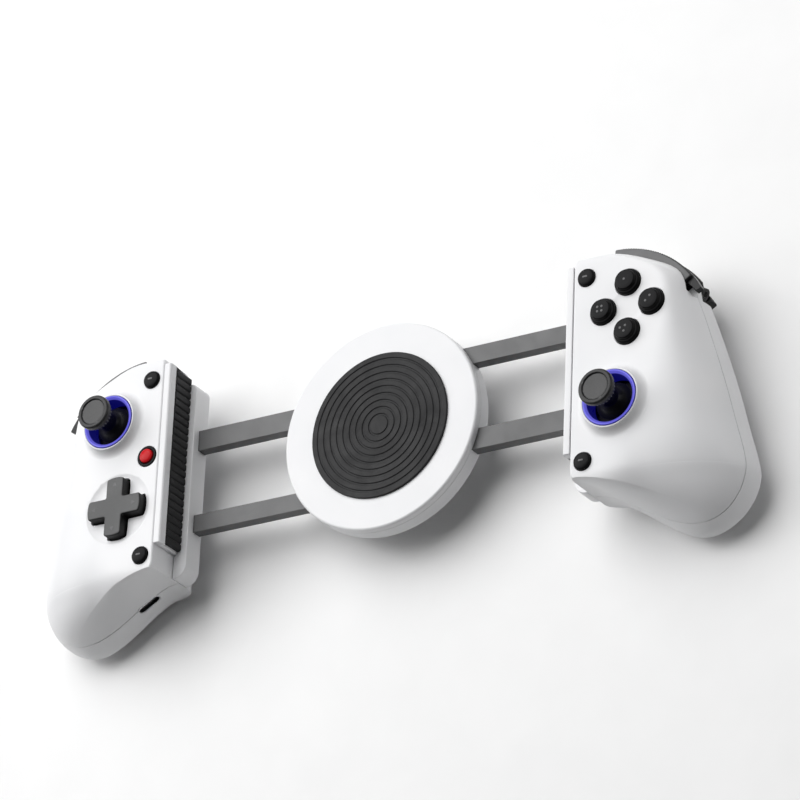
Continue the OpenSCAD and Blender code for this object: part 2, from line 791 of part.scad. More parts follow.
// Trigger: a finger lever bent round the shoulder, with a hollowed face and a longer tail,
// on a pin between two ears
trigger_top = -0.8;
trigger_boss_r = 1.9;
trigger_mid_r = pocket_r + trigger_boss_r + 2 * clearance;
trigger_pin_z = trigger_top - trigger_boss_r;
trigger_proud = 0.7;
trigger_face_r = bumper_r + trigger_proud;
trigger_thick = 4.2;
trigger_thin = 1.8;
trigger_rake = 2.2;
trigger_hollow = 5.2;
trigger_steps = 8;
trigger_half = asin(trigger_l / 2 / trigger_face_r);
tail_from = 0.56;
tail_angle = 4;
spring_l = 5;
spring_r = 2;
ear_t = 1.6;
ear_gap = 0.4;
ear_r = 1.9;
ear_mid = trigger_l / 2 + ear_gap + ear_t / 2;
ear_from = sqrt(pow(pocket_r - shell_wall / 2, 2) - ear_mid * ear_mid);
function trigger_face(t) = trigger_face_r - trigger_hollow * t * (1 - t) - trigger_rake * t * t;
function trigger_back(t) = trigger_face(t) - trigger_thick + trigger_thin * t;
// The lever's profile, turned about the shoulder's centre, with its tail passing below the ear
module trigger_lever() {
  steps = [for (i = [0:trigger_steps]) i / trigger_steps];
  difference() {
    rotate([0, 0, -trigger_half - tail_angle])
      rotate_extrude(angle = 2 * trigger_half + tail_angle, $fn = 128)
        polygon(concat(
          [for (t = steps) [trigger_face(t), trigger_top - trigger_d * t]],
          [for (i = [trigger_steps:-1:0]) [trigger_back(steps[i]), trigger_top - trigger_d * steps[i]]]
        ));
    rotate([0, 0, -trigger_half])
      translate([0, -trigger_d, trigger_top - trigger_d * tail_from])
        cube([2 * bumper_r, trigger_d, trigger_d]);
  }
}
module trigger() {
  color(black_color)
    at_shoulder()
      difference() {
        union() {
          trigger_lever();
          translate([trigger_mid_r, 0, trigger_pin_z]) along_y(trigger_boss_r, trigger_l);
        }
        translate([trigger_mid_r, 0, trigger_pin_z]) along_y(trigger_pin_r + running, 2 * trigger_l);
        translate([trigger_mid_r, 0, trigger_pin_z]) along_y(spring_r + clearance, spring_l + 2 * clearance);
      }
}
module trigger_pin() {
  color(steel_color)
    at_shoulder()
      translate([trigger_mid_r, 0, trigger_pin_z])
        along_y(trigger_pin_r, trigger_l + 2 * ear_gap + 2 * ear_t);
}
module trigger_spring() {
  color(steel_color)
    at_shoulder()
      translate([trigger_mid_r, 0, trigger_pin_z])
        difference() {
          along_y(spring_r, spring_l);
          along_y(trigger_pin_r + seam, 2 * spring_l);
        }
}
// Ears of the back shell that carry the trigger's pin
module trigger_ears() {
  at_shoulder()
    difference() {
      for (side = [-1, 1])
        translate([0, side * ear_mid, trigger_pin_z]) {
          translate([ear_from, -ear_t / 2, -ear_r]) cube([trigger_mid_r - ear_from, ear_t, 2 * ear_r]);
          translate([trigger_mid_r, 0, 0]) along_y(ear_r, ear_t);
        }
      translate([trigger_mid_r, 0, trigger_pin_z]) along_y(trigger_pin_r + seam / 2, 2 * trigger_l);
    }
}

// Clamp rail, rubber end pad and end bracket
rail_web_x = bay_w / 2 + end_pad_t;
rail_lip_x = bay_w / 2 + clearance;
rail_out_x = wall_x - seam;
rail_low = -0.4;
module rail() {
  color(shell_color)
    translate([0, rail_top, 0])
      rotate([90, 0, 0])
        linear_extrude(rail_top + rail_bottom)
          polygon([
            [rail_web_x, rail_low], [rail_out_x, rail_low], [rail_out_x, face_z],
            [rail_lip_x + face_edge, face_z], [rail_lip_x, face_z - face_edge],
            [rail_lip_x, face_z - rail_lip_h], [rail_web_x, face_z - rail_lip_h]
          ]);
}
end_pad_margin = 1;
module end_pad() {
  color(black_color)
    translate([bay_w / 2, -rail_bottom + end_pad_margin, rail_low])
      cube([end_pad_t, rail_top + rail_bottom - 2 * end_pad_margin, face_z - rail_lip_h - seam - rail_low]);
}
bracket_top = 30;
bracket_bottom = 38.5;
bracket_in = wall_x - bracket_reach;
bracket_corner = (rail_out_x - bracket_in) / 2;
bracket_z = rail_low - seam;
module bracket_outline() {
  translate([bracket_in + bracket_corner, -bracket_bottom])
    square([bracket_corner, bracket_bottom + bracket_top]);
  translate([bracket_in, -bracket_bottom + bracket_corner])
    square([bracket_corner + seam, bracket_bottom + bracket_top - 2 * bracket_corner]);
  for (y = [-bracket_bottom + bracket_corner, bracket_top - bracket_corner])
    translate([bracket_in + bracket_corner, y]) circle(r = bracket_corner);
}
module bracket(flip) {
  color(shell_color)
    difference() {
      translate([0, 0, bracket_z - bracket_t]) linear_extrude(bracket_t) bracket_outline();
      arm_channel(flip, bracket_in - over, wall_x + over);
    }
}

// Telescopic arms: a rack bar and a guide bar, joined inside the handle
gear_teeth = 12;
pressure_angle = 20;
pitch_r = gear_module * gear_teeth / 2;
rack_pitch = PI * gear_module;
backlash = 0.12;
tooth_shares = [0.65, 1, 0.8, 0.95];
rack_tip = tooth_shares[0] * gear_module;
rack_root = tooth_shares[1] * gear_module;
gear_tip = tooth_shares[2] * gear_module;
gear_root = tooth_shares[3] * gear_module;
tooth_foot = 0.4;
rack_in = pitch_r + rack_root;
rack_bar_w = 7;
rack_out = rack_in + rack_bar_w;
bar_gap = 2;
guide_in = rack_out + bar_gap;
guide_out = guide_in + guide_w;
arm_gap = 0.3;
hub_plate_t = 2.4;
arm_top = bed_plate_z - hub_plate_t - arm_gap;
arm_low = arm_top - arm_t;
rack_tip_x = -(travel_out + rack_pitch);
guide_tip_x = -10;
tie_x = cavity_x + arm_gap;
tie_w = 5;
arm_end = tie_x + tie_w;
peg_x = 7;
peg_w = 2;
peg_out = 2.6;
peg_y = guide_out + peg_out;
peg_r = 0.9;

module rack_tooth() {
  half = rack_pitch / 4 - backlash / 2;
  wide = half + rack_root * tan(pressure_angle);
  slim = half - rack_tip * tan(pressure_angle);
  foot = -rack_root - tooth_foot;
  polygon([
    [-wide, foot], [-wide, -rack_root], [-slim, rack_tip],
    [slim, rack_tip], [wide, -rack_root], [wide, foot]
  ]);
}
module arm_outline() {
  first = floor(rack_tip_x / rack_pitch) + 1;
  last = floor((travel_in + rack_pitch) / rack_pitch);
  translate([rack_tip_x, -rack_out]) square([arm_end - rack_tip_x, rack_bar_w]);
  for (i = [first:last])
    translate([(i + 0.5) * rack_pitch, -pitch_r]) rack_tooth();
  translate([guide_tip_x, guide_in]) square([arm_end - guide_tip_x, guide_w]);
  translate([tie_x, -rack_out]) square([arm_end - tie_x, rack_out + guide_out]);
  translate([peg_x - peg_w / 2, guide_out - over]) square([peg_w, peg_y - guide_out + over]);
}
module arm() {
  color(grey_color)
    translate([0, 0, arm_low]) {
      linear_extrude(arm_t) arm_outline();
      translate([peg_x, peg_y, 0]) cylinder(r = peg_r, h = arm_t);
    }
}
// Passage of the two bars through the inner wall and the bracket
module arm_channel(flip, from, to) {
  mirror([0, flip ? 1 : 0, 0])
    for (bar = [[-rack_out, rack_bar_w], [guide_in, guide_w]])
      translate([from, bar[0] - arm_gap / 2, arm_low - arm_gap / 2])
        cube([to - from, bar[1] + arm_gap, arm_t + arm_gap]);
}
// Room for the tie between the bars inside the handle
module tie_channel(flip) {
  mirror([0, flip ? 1 : 0, 0])
    translate([tie_x - arm_gap / 2, -rack_out - arm_gap / 2, arm_low - arm_gap / 2])
      cube([arm_end - tie_x + arm_gap, rack_out + guide_out + arm_gap, arm_t + arm_gap]);
}

// Pinion with involute flanks
base_circle_r = pitch_r * cos(pressure_angle);
function involute_angle(r) = let (c = acos(base_circle_r / r)) tan(c) * 180 / PI - c;
half_tooth = 90 / gear_teeth - backlash / 2 / pitch_r * 180 / PI + involute_angle(pitch_r);
flank_steps = 5;
pinion_post_r = 1.5;
module pinion_tooth() {
  tip_r = pitch_r + gear_tip;
  radii = [for (i = [0:flank_steps]) base_circle_r + (tip_r - base_circle_r) * i / flank_steps];
  root = (pitch_r - gear_root - tooth_foot) * [cos(half_tooth), sin(half_tooth)];
  flank = [for (r = radii) let (a = half_tooth - involute_angle(r)) r * [cos(a), sin(a)]];
  low = [for (p = flank) [p[0], -p[1]]];
  high = [for (i = [flank_steps:-1:0]) flank[i]];
  polygon(concat([[root[0], -root[1]]], low, high, [root]));
}
module pinion() {
  color("ivory")
    translate([0, 0, arm_low + seam])
      difference() {
        linear_extrude(arm_t - 2 * seam) {
          circle(r = pitch_r - gear_root);
          for (i = [0:gear_teeth - 1])
            rotate(i * 360 / gear_teeth + 90) pinion_tooth();
        }
        translate([0, 0, -over]) cylinder(r = pinion_post_r + running, h = arm_t + 2 * over);
      }
}

// Round bridge housing
hub_edge = 3;
hub_in = hub_r - hub_wall;
hub_post_in = [3.9, 6.4];
hub_floor_top = arm_low - arm_gap;
hub_post_r = 2.5;
hub_screw_end = hub_in - hub_post_in[0];
hub_screw_side = hub_in - hub_post_in[1];
hub_screw_places = [[0, hub_screw_end], [0, -hub_screw_end], [hub_screw_side, 0], [-hub_screw_side, 0]];
spring_gap = 0.2;
return_spring_r = 1.5;
anchor_x = -sqrt(pow(hub_in - clearance, 2) - pow(peg_y + return_spring_r, 2));
rib_w = 1.2;
rib_h = 2.4;
rib_l = 1.6 * hub_in;
sunk = 0.2;
module bridge_back() {
  plate_low = bed_plate_z - hub_plate_t;
  color(shell_color)
    difference() {
      union() {
        difference() {
          rotate_extrude($fn = 128)
            polygon(concat(
              [[0, -hub_depth]],
              arc([hub_r - hub_edge, -hub_depth + hub_edge], [hub_edge, hub_edge], -90, 0, 7),
              [[hub_r, plate_low], [0, plate_low]]
            ));
          translate([0, 0, hub_floor_top]) cylinder(r = hub_in, h = hub_depth, $fn = 128);
        }
        for (p = hub_screw_places)
          translate([p[0], p[1], -hub_depth + over])
            cylinder(r = hub_post_r, h = plate_low + hub_depth - over);
        for (y = [-1, 1] * (rack_out + guide_in) / 2)
          translate([-rib_l / 2, y - rib_w / 2, hub_floor_top - sunk]) cube([rib_l, rib_w, rib_h + sunk]);
        for (turn = [0, 180])
          rotate([0, 0, turn])
            translate([anchor_x, peg_y, hub_floor_top - sunk]) cylinder(r = peg_r, h = arm_t);
      }
      arm_channel(false, hub_r / 3, hub_r + over);
      rotate([0, 0, 180]) arm_channel(false, hub_r / 3, hub_r + over);
      for (p = hub_screw_places)
        translate([p[0], p[1], -hub_depth - over]) {
          cylinder(r = screw_hole_r, h = 2 * hub_depth);
          cylinder(r = screw_head_r + seam, h = screw_head_t + over + seam);
        }
      translate([0, 0, -hub_depth / 2]) cylinder(r = pinion_post_r + seam / 2, h = hub_depth, center = true);
    }
}
hub_screw_cover = 0.6;
hub_screw_top = bed_plate_z - hub_screw_cover;
module bridge_front() {
  color(shell_color)
    translate([0, 0, bed_plate_z - hub_plate_t])
      difference() {
        rotate_extrude($fn = 128)
          polygon([
            [0, 0], [hub_r, 0], [hub_r, hub_plate_t - face_edge],
            [hub_r - face_edge, hub_plate_t], [0, hub_plate_t]
          ]);
        for (p = hub_screw_places)
          translate([p[0], p[1], -over])
            cylinder(r = screw_hole_r, h = hub_plate_t - hub_screw_cover + over + seam);
        translate([0, 0, -over]) cylinder(r = pinion_post_r + seam / 2, h = hub_plate_t / 2 + over);
      }
}
module bed_pad() {
  color(black_color)
    translate([0, 0, -bed_pad_t]) cylinder(r = bed_pad_r, h = bed_pad_t, $fn = 96);
}
module pinion_post() {
  low = -hub_depth + hub_screw_cover;
  color(steel_color)
    translate([0, 0, low]) cylinder(r = pinion_post_r, h = bed_plate_z - hub_plate_t / 2 - seam - low);
}
module bridge_screws() {
  color(steel_color)
    for (p = hub_screw_places)
      translate([p[0], p[1], -hub_depth]) {
        cylinder(r = screw_head_r, h = screw_head_t);
        cylinder(r = screw_r, h = hub_screw_top + hub_depth);
      }
}
module return_springs() {
  from = anchor_x + peg_r + spring_gap;
  to = peg_x - peg_r - spring_gap;
  color(steel_color)
    for (turn = [0, 180])
      rotate([0, 0, turn])
        translate([(from + to) / 2, peg_y, arm_low + arm_t / 2]) along_x(return_spring_r, to - from);
}

// Boards, battery and charging socket
board_edge = [
  [2.9, 31], [5.8, 31], [6.2, 26.5], [11.5, 26.5], [25, 21.5], [31, 11],
  [34.6, -2], [35.6, -20], [30, -31], [12, -35.6], [2.9, -35.6]
];
module board() {
  color(board_color)
    difference() {
      translate([wall_x, 0, board_top - board_t])
        linear_extrude(board_t)
          polygon(board_edge);
      for (s = screw_places)
        translate([wall_x + s[0], s[1], board_top - 2 * board_t])
          cylinder(r = post_step_r + clearance, h = 4 * board_t);
    }
}
battery_size = [23, 28, 6.5];
battery_place = [9.8, -28.5];
module battery() {
  color("steelblue")
    translate([wall_x + battery_place[0], battery_place[1], board_top - board_t - seam - battery_size[2]])
      cube(battery_size);
}
socket_w = 9;
socket_h = 3.2;
socket_l = 7;
socket_wall = 0.4;
socket_place = [12.2, -43.1, -6.2];
socket_turn = -31;
module stadium(w, h) {
  translate([-(w - h) / 2, -h / 2]) square([w - h, h]);
  for (side = [-1, 1])
    translate([side * (w - h) / 2, 0]) circle(r = h / 2);
}
module at_socket() {
  translate([wall_x + socket_place[0], socket_place[1], socket_place[2]])
    rotate([0, 0, socket_turn])
      rotate([-90, 0, 0])
        children();
}
module charging_socket() {
  color(steel_color)
    at_socket()
      difference() {
        linear_extrude(socket_l) stadium(socket_w, socket_h);
        translate([0, 0, -over])
          linear_extrude(socket_l)
            stadium(socket_w - 2 * socket_wall, socket_h - 2 * socket_wall);
      }
}
module socket_hole() {
  at_socket()
    translate([0, 0, -socket_l])
      linear_extrude(3 * socket_l)
        stadium(socket_w + 2 * seam, socket_h + 2 * seam);
}

// Shells
module front_shell(left) {
  color(shell_color)
    difference() {
      union() {
        difference() {
          intersection() {
            handle_solid();
            parting_half(1);
          }
          handle_hollow();
          shoulder_sector(pocket_r, pocket_from, pocket_to, -2 * grip_depth, pocket_roof);
        }
        front_posts();
        translate(left ? upper : lower) collar();
        bumper_pin();
      }
      translate(left ? upper : lower) ring_hole();
      if (left) {
        translate(lower) dpad_hole();
        small_button_hole(red_button_y);
        bezel_seat();
        socket_hole();
      } else {
        face_button_holes();
        diamond_recess();
      }
      small_button_hole(small_button_top);
      small_button_hole(small_button_low);
      screw_holes();
    }
}
module back_shell(left) {
  color(shell_color) {
    difference() {
      union() {
        difference() {
          intersection() {
            handle_solid();
            parting_half(-1);
          }
          handle_hollow();
          shoulder_sector(pocket_r, pocket_from, pocket_to, -2 * grip_depth, pocket_roof);
        }
        back_posts();
      }
      screw_holes();
      if (left) socket_hole();
      arm_channel(left, bracket_in, cavity_x + over);
      tie_channel(left);
    }
    trigger_ears();
  }
}
module left_side() { mirror([1, 0, 0]) children(); }

bridge_back();
bridge_front();
bed_pad();
pinion_post();
bridge_screws();
return_springs();
pinion();
left_side() front_shell(true);  // left_front_shell
left_side() back_shell(true);  // left_back_shell
left_side() rail();  // left_rail
left_side() end_pad();  // left_end_pad
left_side() bracket(true);  // left_bracket
rotate([0, 0, 180]) arm();  // left_arm
left_side() board();  // left_board
left_side() translate(upper) light_ring();  // left_light_ring
left_side() translate(upper) stick_base();  // left_stick_base
left_side() translate(upper) yoke();  // left_yoke
left_side() translate(upper) pivot();  // left_pivot
left_side() translate(upper) stick();  // left_stick
left_side() translate(upper) thumb_cap();  // left_cap
left_side() bumper();  // left_bumper
left_side() trigger();  // left_trigger
left_side() trigger_pin();  // left_trigger_pin
left_side() trigger_spring();  // left_trigger_spring
left_side() handle_screws();  // left_screws
left_side() translate(lower) dpad();
left_side() translate(lower) dpad_pivot();
left_side() translate(lower) dpad_membrane();
left_side() small_button(red_button_y, "crimson");  // red_button
left_side() red_button_bezel();
left_side() small_button(small_button_top, black_color);  // left_top_button
left_side() small_button(small_button_low, black_color);  // left_bottom_button
left_side() battery();
left_side() charging_socket();
front_shell(false);  // right_front_shell
back_shell(false);  // right_back_shell
rail();  // right_rail
end_pad();  // right_end_pad
bracket(false);  // right_bracket
arm();  // right_arm
board();  // right_board
translate(lower) light_ring();  // right_light_ring
translate(lower) stick_base();  // right_stick_base
translate(lower) yoke();  // right_yoke
translate(lower) pivot();  // right_pivot
translate(lower) stick();  // right_stick
translate(lower) thumb_cap();  // right_cap
bumper();  // right_bumper
trigger();  // right_trigger
trigger_pin();  // right_trigger_pin
trigger_spring();  // right_trigger_spring
handle_screws();  // right_screws
face_button(compass[0][1]);  // north_button
face_button(compass[1][1]);  // east_button
face_button(compass[2][1]);  // south_button
face_button(compass[3][1]);  // west_button
button_membrane();
small_button(small_button_top, black_color);  // right_top_button
small_button(small_button_low, black_color);  // right_bottom_button
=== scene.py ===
# %% [markdown]
# A telescopic game controller. Two white handles slide on a round spring bridge, whose springs pull them
# together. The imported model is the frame: it holds every piece at its real place and size. Each visible piece is
# drawn again here with rounder edges and finer forms, and the hidden ones keep their solids.

import math

import bmesh
import bpy
from mathutils import Matrix, Vector


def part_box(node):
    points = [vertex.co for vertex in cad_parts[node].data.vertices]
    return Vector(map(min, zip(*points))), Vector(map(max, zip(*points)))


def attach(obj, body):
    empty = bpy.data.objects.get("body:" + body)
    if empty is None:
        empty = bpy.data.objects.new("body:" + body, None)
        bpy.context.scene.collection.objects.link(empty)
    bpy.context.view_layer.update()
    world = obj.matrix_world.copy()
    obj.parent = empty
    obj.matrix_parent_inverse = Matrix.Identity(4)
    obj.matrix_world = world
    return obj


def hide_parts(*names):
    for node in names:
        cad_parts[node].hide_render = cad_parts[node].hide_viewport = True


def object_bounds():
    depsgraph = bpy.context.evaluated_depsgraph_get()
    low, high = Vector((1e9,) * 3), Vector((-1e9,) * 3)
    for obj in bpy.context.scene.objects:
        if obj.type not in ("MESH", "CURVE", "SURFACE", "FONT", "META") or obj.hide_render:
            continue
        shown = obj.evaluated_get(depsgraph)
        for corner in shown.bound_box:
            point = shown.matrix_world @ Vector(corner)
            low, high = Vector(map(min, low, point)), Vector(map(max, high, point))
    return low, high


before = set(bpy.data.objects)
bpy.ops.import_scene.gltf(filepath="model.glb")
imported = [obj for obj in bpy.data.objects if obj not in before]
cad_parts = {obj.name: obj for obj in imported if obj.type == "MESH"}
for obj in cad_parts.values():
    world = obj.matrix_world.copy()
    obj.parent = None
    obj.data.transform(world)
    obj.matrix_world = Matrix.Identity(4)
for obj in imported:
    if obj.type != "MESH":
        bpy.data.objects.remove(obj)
cad_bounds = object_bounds()
scene = bpy.context.scene
MM = 0.001
SIDES = (("left", True), ("right", False))


def box_mm(node):
    """Lowest and highest corner of a node in millimetres."""
    low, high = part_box(node)
    return Vector(low) / MM, Vector(high) / MM


# %% [markdown]
# A product picture is taken from far away with a long lens, so that the handles keep their proportions. The
# camera looks at the middle of the bed and is rolled, because the object lies flat in its own frame while the
# picture shows it turned. Place, aim, roll and lens are the only values that it needs.

# %% Camera
CAMERA_PLACE = Vector((697.1, -598.1, 1084.4)) * MM
CAMERA_AIM = Vector((7.57, 6.94, 0.0)) * MM
CAMERA_ROLL = math.radians(-53.70)
CAMERA_LENS = 202.4

camera_data = bpy.data.cameras.new("camera")
camera_data.lens = CAMERA_LENS
camera_data.sensor_width = 36.0
camera = bpy.data.objects.new("camera", camera_data)
view_turn = (CAMERA_AIM - CAMERA_PLACE).to_track_quat("-Z", "Y").to_matrix()
roll_turn = Matrix.Rotation(CAMERA_ROLL, 3, "Z")
camera.matrix_world = Matrix.Translation(CAMERA_PLACE) @ (view_turn @ roll_turn).to_4x4()
scene.collection.objects.link(camera)
scene.camera = camera
print("camera distance in mm:", round((CAMERA_AIM - CAMERA_PLACE).length / MM))

# %% [markdown]
# Every moulded surface has three things that a flat colour lacks: a fine grain from the mould, a slow mottle
# in the colour, and smudges that change how it shines. One node group makes all three from the piece's own
# coordinates, and each finish places it with its own sizes.

# %% Shared surface group


def socket(group, name, kind, direction, value=None):
    """Adds one named socket to a node group."""
    item = group.interface.new_socket(name=name, in_out=direction, socket_type=kind)
    if value is not None:
        item.default_value = value


def add_node(nodes, kind, **values):
    """Adds a node and sets its inputs; an underscore in a name stands for a space."""
    node = nodes.new(kind)
    for name, value in values.items():
        node.inputs[name.replace("_", " ")].default_value = value
    return node


def surface_group():
    """Grain height, colour mottle and smudges for a moulded surface."""
    group = bpy.data.node_groups.new("moulded_surface", "ShaderNodeTree")
    socket(group, "Grain Scale", "NodeSocketFloat", "INPUT", 3000.0)
    socket(group, "Mottle Scale", "NodeSocketFloat", "INPUT", 40.0)
    socket(group, "Smudge Scale", "NodeSocketFloat", "INPUT", 90.0)
    for name in ("Grain", "Mottle", "Smudge"):
        socket(group, name, "NodeSocketFloat", "OUTPUT")
    nodes, links = group.nodes, group.links
    entry = nodes.new("NodeGroupInput")
    leave = nodes.new("NodeGroupOutput")
    place = nodes.new("ShaderNodeTexCoord")
    for name, detail, roughness, distortion in (
        ("Grain", 2.0, 0.55, 0.0),
        ("Mottle", 3.0, 0.5, 0.4),
        ("Smudge", 4.0, 0.65, 1.2),
    ):
        noise = add_node(
            nodes, "ShaderNodeTexNoise", Detail=detail, Roughness=roughness, Distortion=distortion
        )
        spread = add_node(nodes, "ShaderNodeMapRange", From_Min=0.3, From_Max=0.7)
        links.new(place.outputs["Object"], noise.inputs["Vector"])
        links.new(entry.outputs[name + " Scale"], noise.inputs["Scale"])
        links.new(noise.outputs["Fac"], spread.inputs["Value"])
        links.new(spread.outputs["Result"], leave.inputs[name])
    return group


MOULDED = surface_group()


def edge_highlight_group():
    """Mask of the convex edges, which a finish paints lighter as a painted highlight."""
    group = bpy.data.node_groups.new("painted_edge_highlight", "ShaderNodeTree")
    socket(group, "Start", "NodeSocketFloat", "INPUT", 0.53)
    socket(group, "Full", "NodeSocketFloat", "INPUT", 0.62)
    socket(group, "Edge", "NodeSocketFloat", "OUTPUT")
    nodes, links = group.nodes, group.links
    entry = nodes.new("NodeGroupInput")
    leave = nodes.new("NodeGroupOutput")
    shape = nodes.new("ShaderNodeNewGeometry")
    spread = nodes.new("ShaderNodeMapRange")
    links.new(shape.outputs["Pointiness"], spread.inputs["Value"])
    links.new(entry.outputs["Start"], spread.inputs["From Min"])
    links.new(entry.outputs["Full"], spread.inputs["From Max"])
    links.new(spread.outputs["Result"], leave.inputs["Edge"])
    return group


EDGE_HIGHLIGHT = edge_highlight_group()
print("node groups:", MOULDED.name, EDGE_HIGHLIGHT.name)

# %% [markdown]
# The finishes differ in colour, shine and grain: satin white shells, rubber, polished and textured black
# plastic, grey plastic, plated steel. One function builds the common part and returns the material, so that a
# finish with more to it, such as the lit ring, can add its own nodes.

# %% Finishes
GRAIN_HEIGHT = 0.1 * MM
COAT_ROUGHNESS = 0.12


def mix_colour(nodes, links, factor, first, second):
    """Mixes two colours by a mask and returns the output socket."""
    mix = nodes.new("ShaderNodeMix")
    mix.data_type = "RGBA"
    links.new(factor, mix.inputs["Factor"])
    for key, colour in (("A", first), ("B", second)):
        target = [s for s in mix.inputs if s.name == key and s.type == "RGBA"][0]
        if isinstance(colour, tuple):
            target.default_value = (*colour, 1.0)
        else:
            links.new(colour, target)
    return [s for s in mix.outputs if s.type == "RGBA"][0]


def facing_up(nodes, links, start, full):
    """Mask of the surfaces that face out of the handle's face, used to paint sides as shade."""
    shape = nodes.new("ShaderNodeNewGeometry")
    part = nodes.new("ShaderNodeSeparateXYZ")
    spread = add_node(nodes, "ShaderNodeMapRange", From_Min=start, From_Max=full)
    links.new(shape.outputs["Normal"], part.inputs["Vector"])
    links.new(part.outputs["Z"], spread.inputs["Value"])
    return spread.outputs["Result"]


def moulded(
    name, colour, mottle, shine, grain, depth, edge=None, side=None, spec=0.5, coat=0.0, metallic=0.0
):
    """A moulded finish: two close colours, a range of roughness, a grain, edges painted lighter as a highlight and
    sides painted darker as shade.
    """
    material = bpy.data.materials.new(name)
    material.use_nodes = True
    nodes, links = material.node_tree.nodes, material.node_tree.links
    shader = nodes["Principled BSDF"]
    surface = nodes.new("ShaderNodeGroup")
    surface.node_tree = MOULDED
    surface.inputs["Grain Scale"].default_value = grain
    tint = mix_colour(nodes, links, surface.outputs["Mottle"], colour, mottle)
    # A side colour paints the sides darker than the top, as painted shade.
    if side:
        tint = mix_colour(nodes, links, facing_up(nodes, links, 0.55, 0.95), side, tint)
    # An edge colour paints the convex edges lighter, as a painted highlight.
    if edge:
        edge_light = nodes.new("ShaderNodeGroup")
        edge_light.node_tree = EDGE_HIGHLIGHT
        tint = mix_colour(nodes, links, edge_light.outputs["Edge"], tint, edge)
    links.new(tint, shader.inputs["Base Color"])
    gloss = add_node(nodes, "ShaderNodeMapRange", To_Min=shine[0], To_Max=shine[1])
    links.new(surface.outputs["Smudge"], gloss.inputs["Value"])
    links.new(gloss.outputs["Result"], shader.inputs["Roughness"])
    bump = add_node(nodes, "ShaderNodeBump", Strength=depth, Distance=GRAIN_HEIGHT)
    links.new(surface.outputs["Grain"], bump.inputs["Height"])
    links.new(bump.outputs["Normal"], shader.inputs["Normal"])
    shader.inputs["Metallic"].default_value = metallic
    shader.inputs["Specular IOR Level"].default_value = spec
    shader.inputs["Coat Weight"].default_value = coat
    shader.inputs["Coat Roughness"].default_value = COAT_ROUGHNESS
    return material


WHITE = moulded("white_shell", (0.80, 0.80, 0.81), (0.765, 0.77, 0.785), (0.34, 0.46), 2600.0, 0.05)
RUBBER = moulded(
    "black_rubber", (0.014, 0.014, 0.015), (0.022, 0.022, 0.023), (0.55, 0.75), 1800.0, 0.3, spec=0.3
)
CAP_TOP = moulded("thumb_pad", (0.066, 0.066, 0.067), (0.080, 0.080, 0.081), (0.45, 0.6), 2400.0, 0.3, spec=0.3)
# Black plastic has its convex edges painted slightly lighter, as a painted highlight.
BLACK = moulded(
    "black_plastic", (0.005, 0.005, 0.006), (0.009, 0.009, 0.010), (0.26, 0.42), 2400.0, 0.12,
    edge=(0.03, 0.03, 0.03), spec=0.25,
)
# Black gloss has its sides painted darker than its tops, as painted shade.
GLOSS = moulded(
    "black_gloss", (0.009, 0.009, 0.010), (0.013, 0.013, 0.014), (0.3, 0.45), 3200.0, 0.03,
    side=(0.002, 0.002, 0.002), spec=0.08,
)
MARK = moulded("mark_paint", (0.075, 0.075, 0.078), (0.11, 0.11, 0.112), (0.4, 0.55), 3200.0, 0.1)
GREY = moulded("grey_plastic", (0.105, 0.106, 0.108), (0.13, 0.131, 0.133), (0.42, 0.6), 2200.0, 0.25)
# The bumper's grey has its sides painted darker than its top, as painted shade.
BUMPER_GREY = moulded(
    "bumper_grey", (0.105, 0.106, 0.108), (0.125, 0.126, 0.128), (0.42, 0.6), 2200.0, 0.25,
    side=(0.012, 0.012, 0.013),
)
# The cap's rubber has its rim edges painted lighter, as a painted highlight.
CAP = moulded(
    "cap_rubber", (0.016, 0.016, 0.017), (0.022, 0.022, 0.023), (0.3, 0.45), 2400.0, 0.12,
    edge=(0.2, 0.2, 0.205), spec=0.3,
)
# The pad's grey has its sides painted darker than its top, as painted shade.
PAD_GREY = moulded(
    "pad_grey", (0.082, 0.083, 0.084), (0.096, 0.097, 0.098), (0.45, 0.6), 2400.0, 0.25,
    side=(0.004, 0.004, 0.004), spec=0.35,
)
RED = moulded("red_gloss", (0.52, 0.007, 0.012), (0.60, 0.010, 0.016), (0.2, 0.32), 3000.0, 0.02, spec=0.15)
STEEL = moulded("plated_steel", (0.55, 0.55, 0.56), (0.62, 0.62, 0.63), (0.22, 0.38), 900.0, 0.1, metallic=1.0)
NYLON = moulded("nylon", (0.66, 0.64, 0.57), (0.72, 0.70, 0.63), (0.4, 0.55), 2000.0, 0.1)
SILICONE = moulded("silicone", (0.15, 0.15, 0.16), (0.2, 0.2, 0.21), (0.55, 0.7), 1500.0, 0.2)
WRAP = moulded("battery_wrap", (0.05, 0.10, 0.22), (0.06, 0.13, 0.27), (0.2, 0.35), 700.0, 0.08, coat=0.3)
BOARD = moulded("circuit_board", (0.012, 0.07, 0.03), (0.02, 0.11, 0.05), (0.25, 0.4), 900.0, 0.15, coat=0.2)


def lit_finish():
    """A light guide with a soft uneven glow, bright where it faces up, and walls painted deep blue as shade."""
    material = moulded("lit_ring", (0.02, 0.02, 0.16), (0.03, 0.03, 0.20), (0.25, 0.36), 2000.0, 0.02, spec=0.3)
    nodes, links = material.node_tree.nodes, material.node_tree.links
    shader = nodes["Principled BSDF"]
    surface = [n for n in nodes if n.type == "GROUP"][0]
    glow = mix_colour(nodes, links, surface.outputs["Mottle"], (0.11, 0.10, 0.60), (0.15, 0.14, 0.68))
    # The walls facing sideways get a deep blue in place of the glow, as painted shade; the glow on the top is the
    # ring's own light.
    deep = mix_colour(nodes, links, facing_up(nodes, links, 0.3, 0.9), (0.002, 0.002, 0.09), glow)
    links.new(deep, shader.inputs["Emission Color"])
    shader.inputs["Emission Strength"].default_value = 0.9
    return material


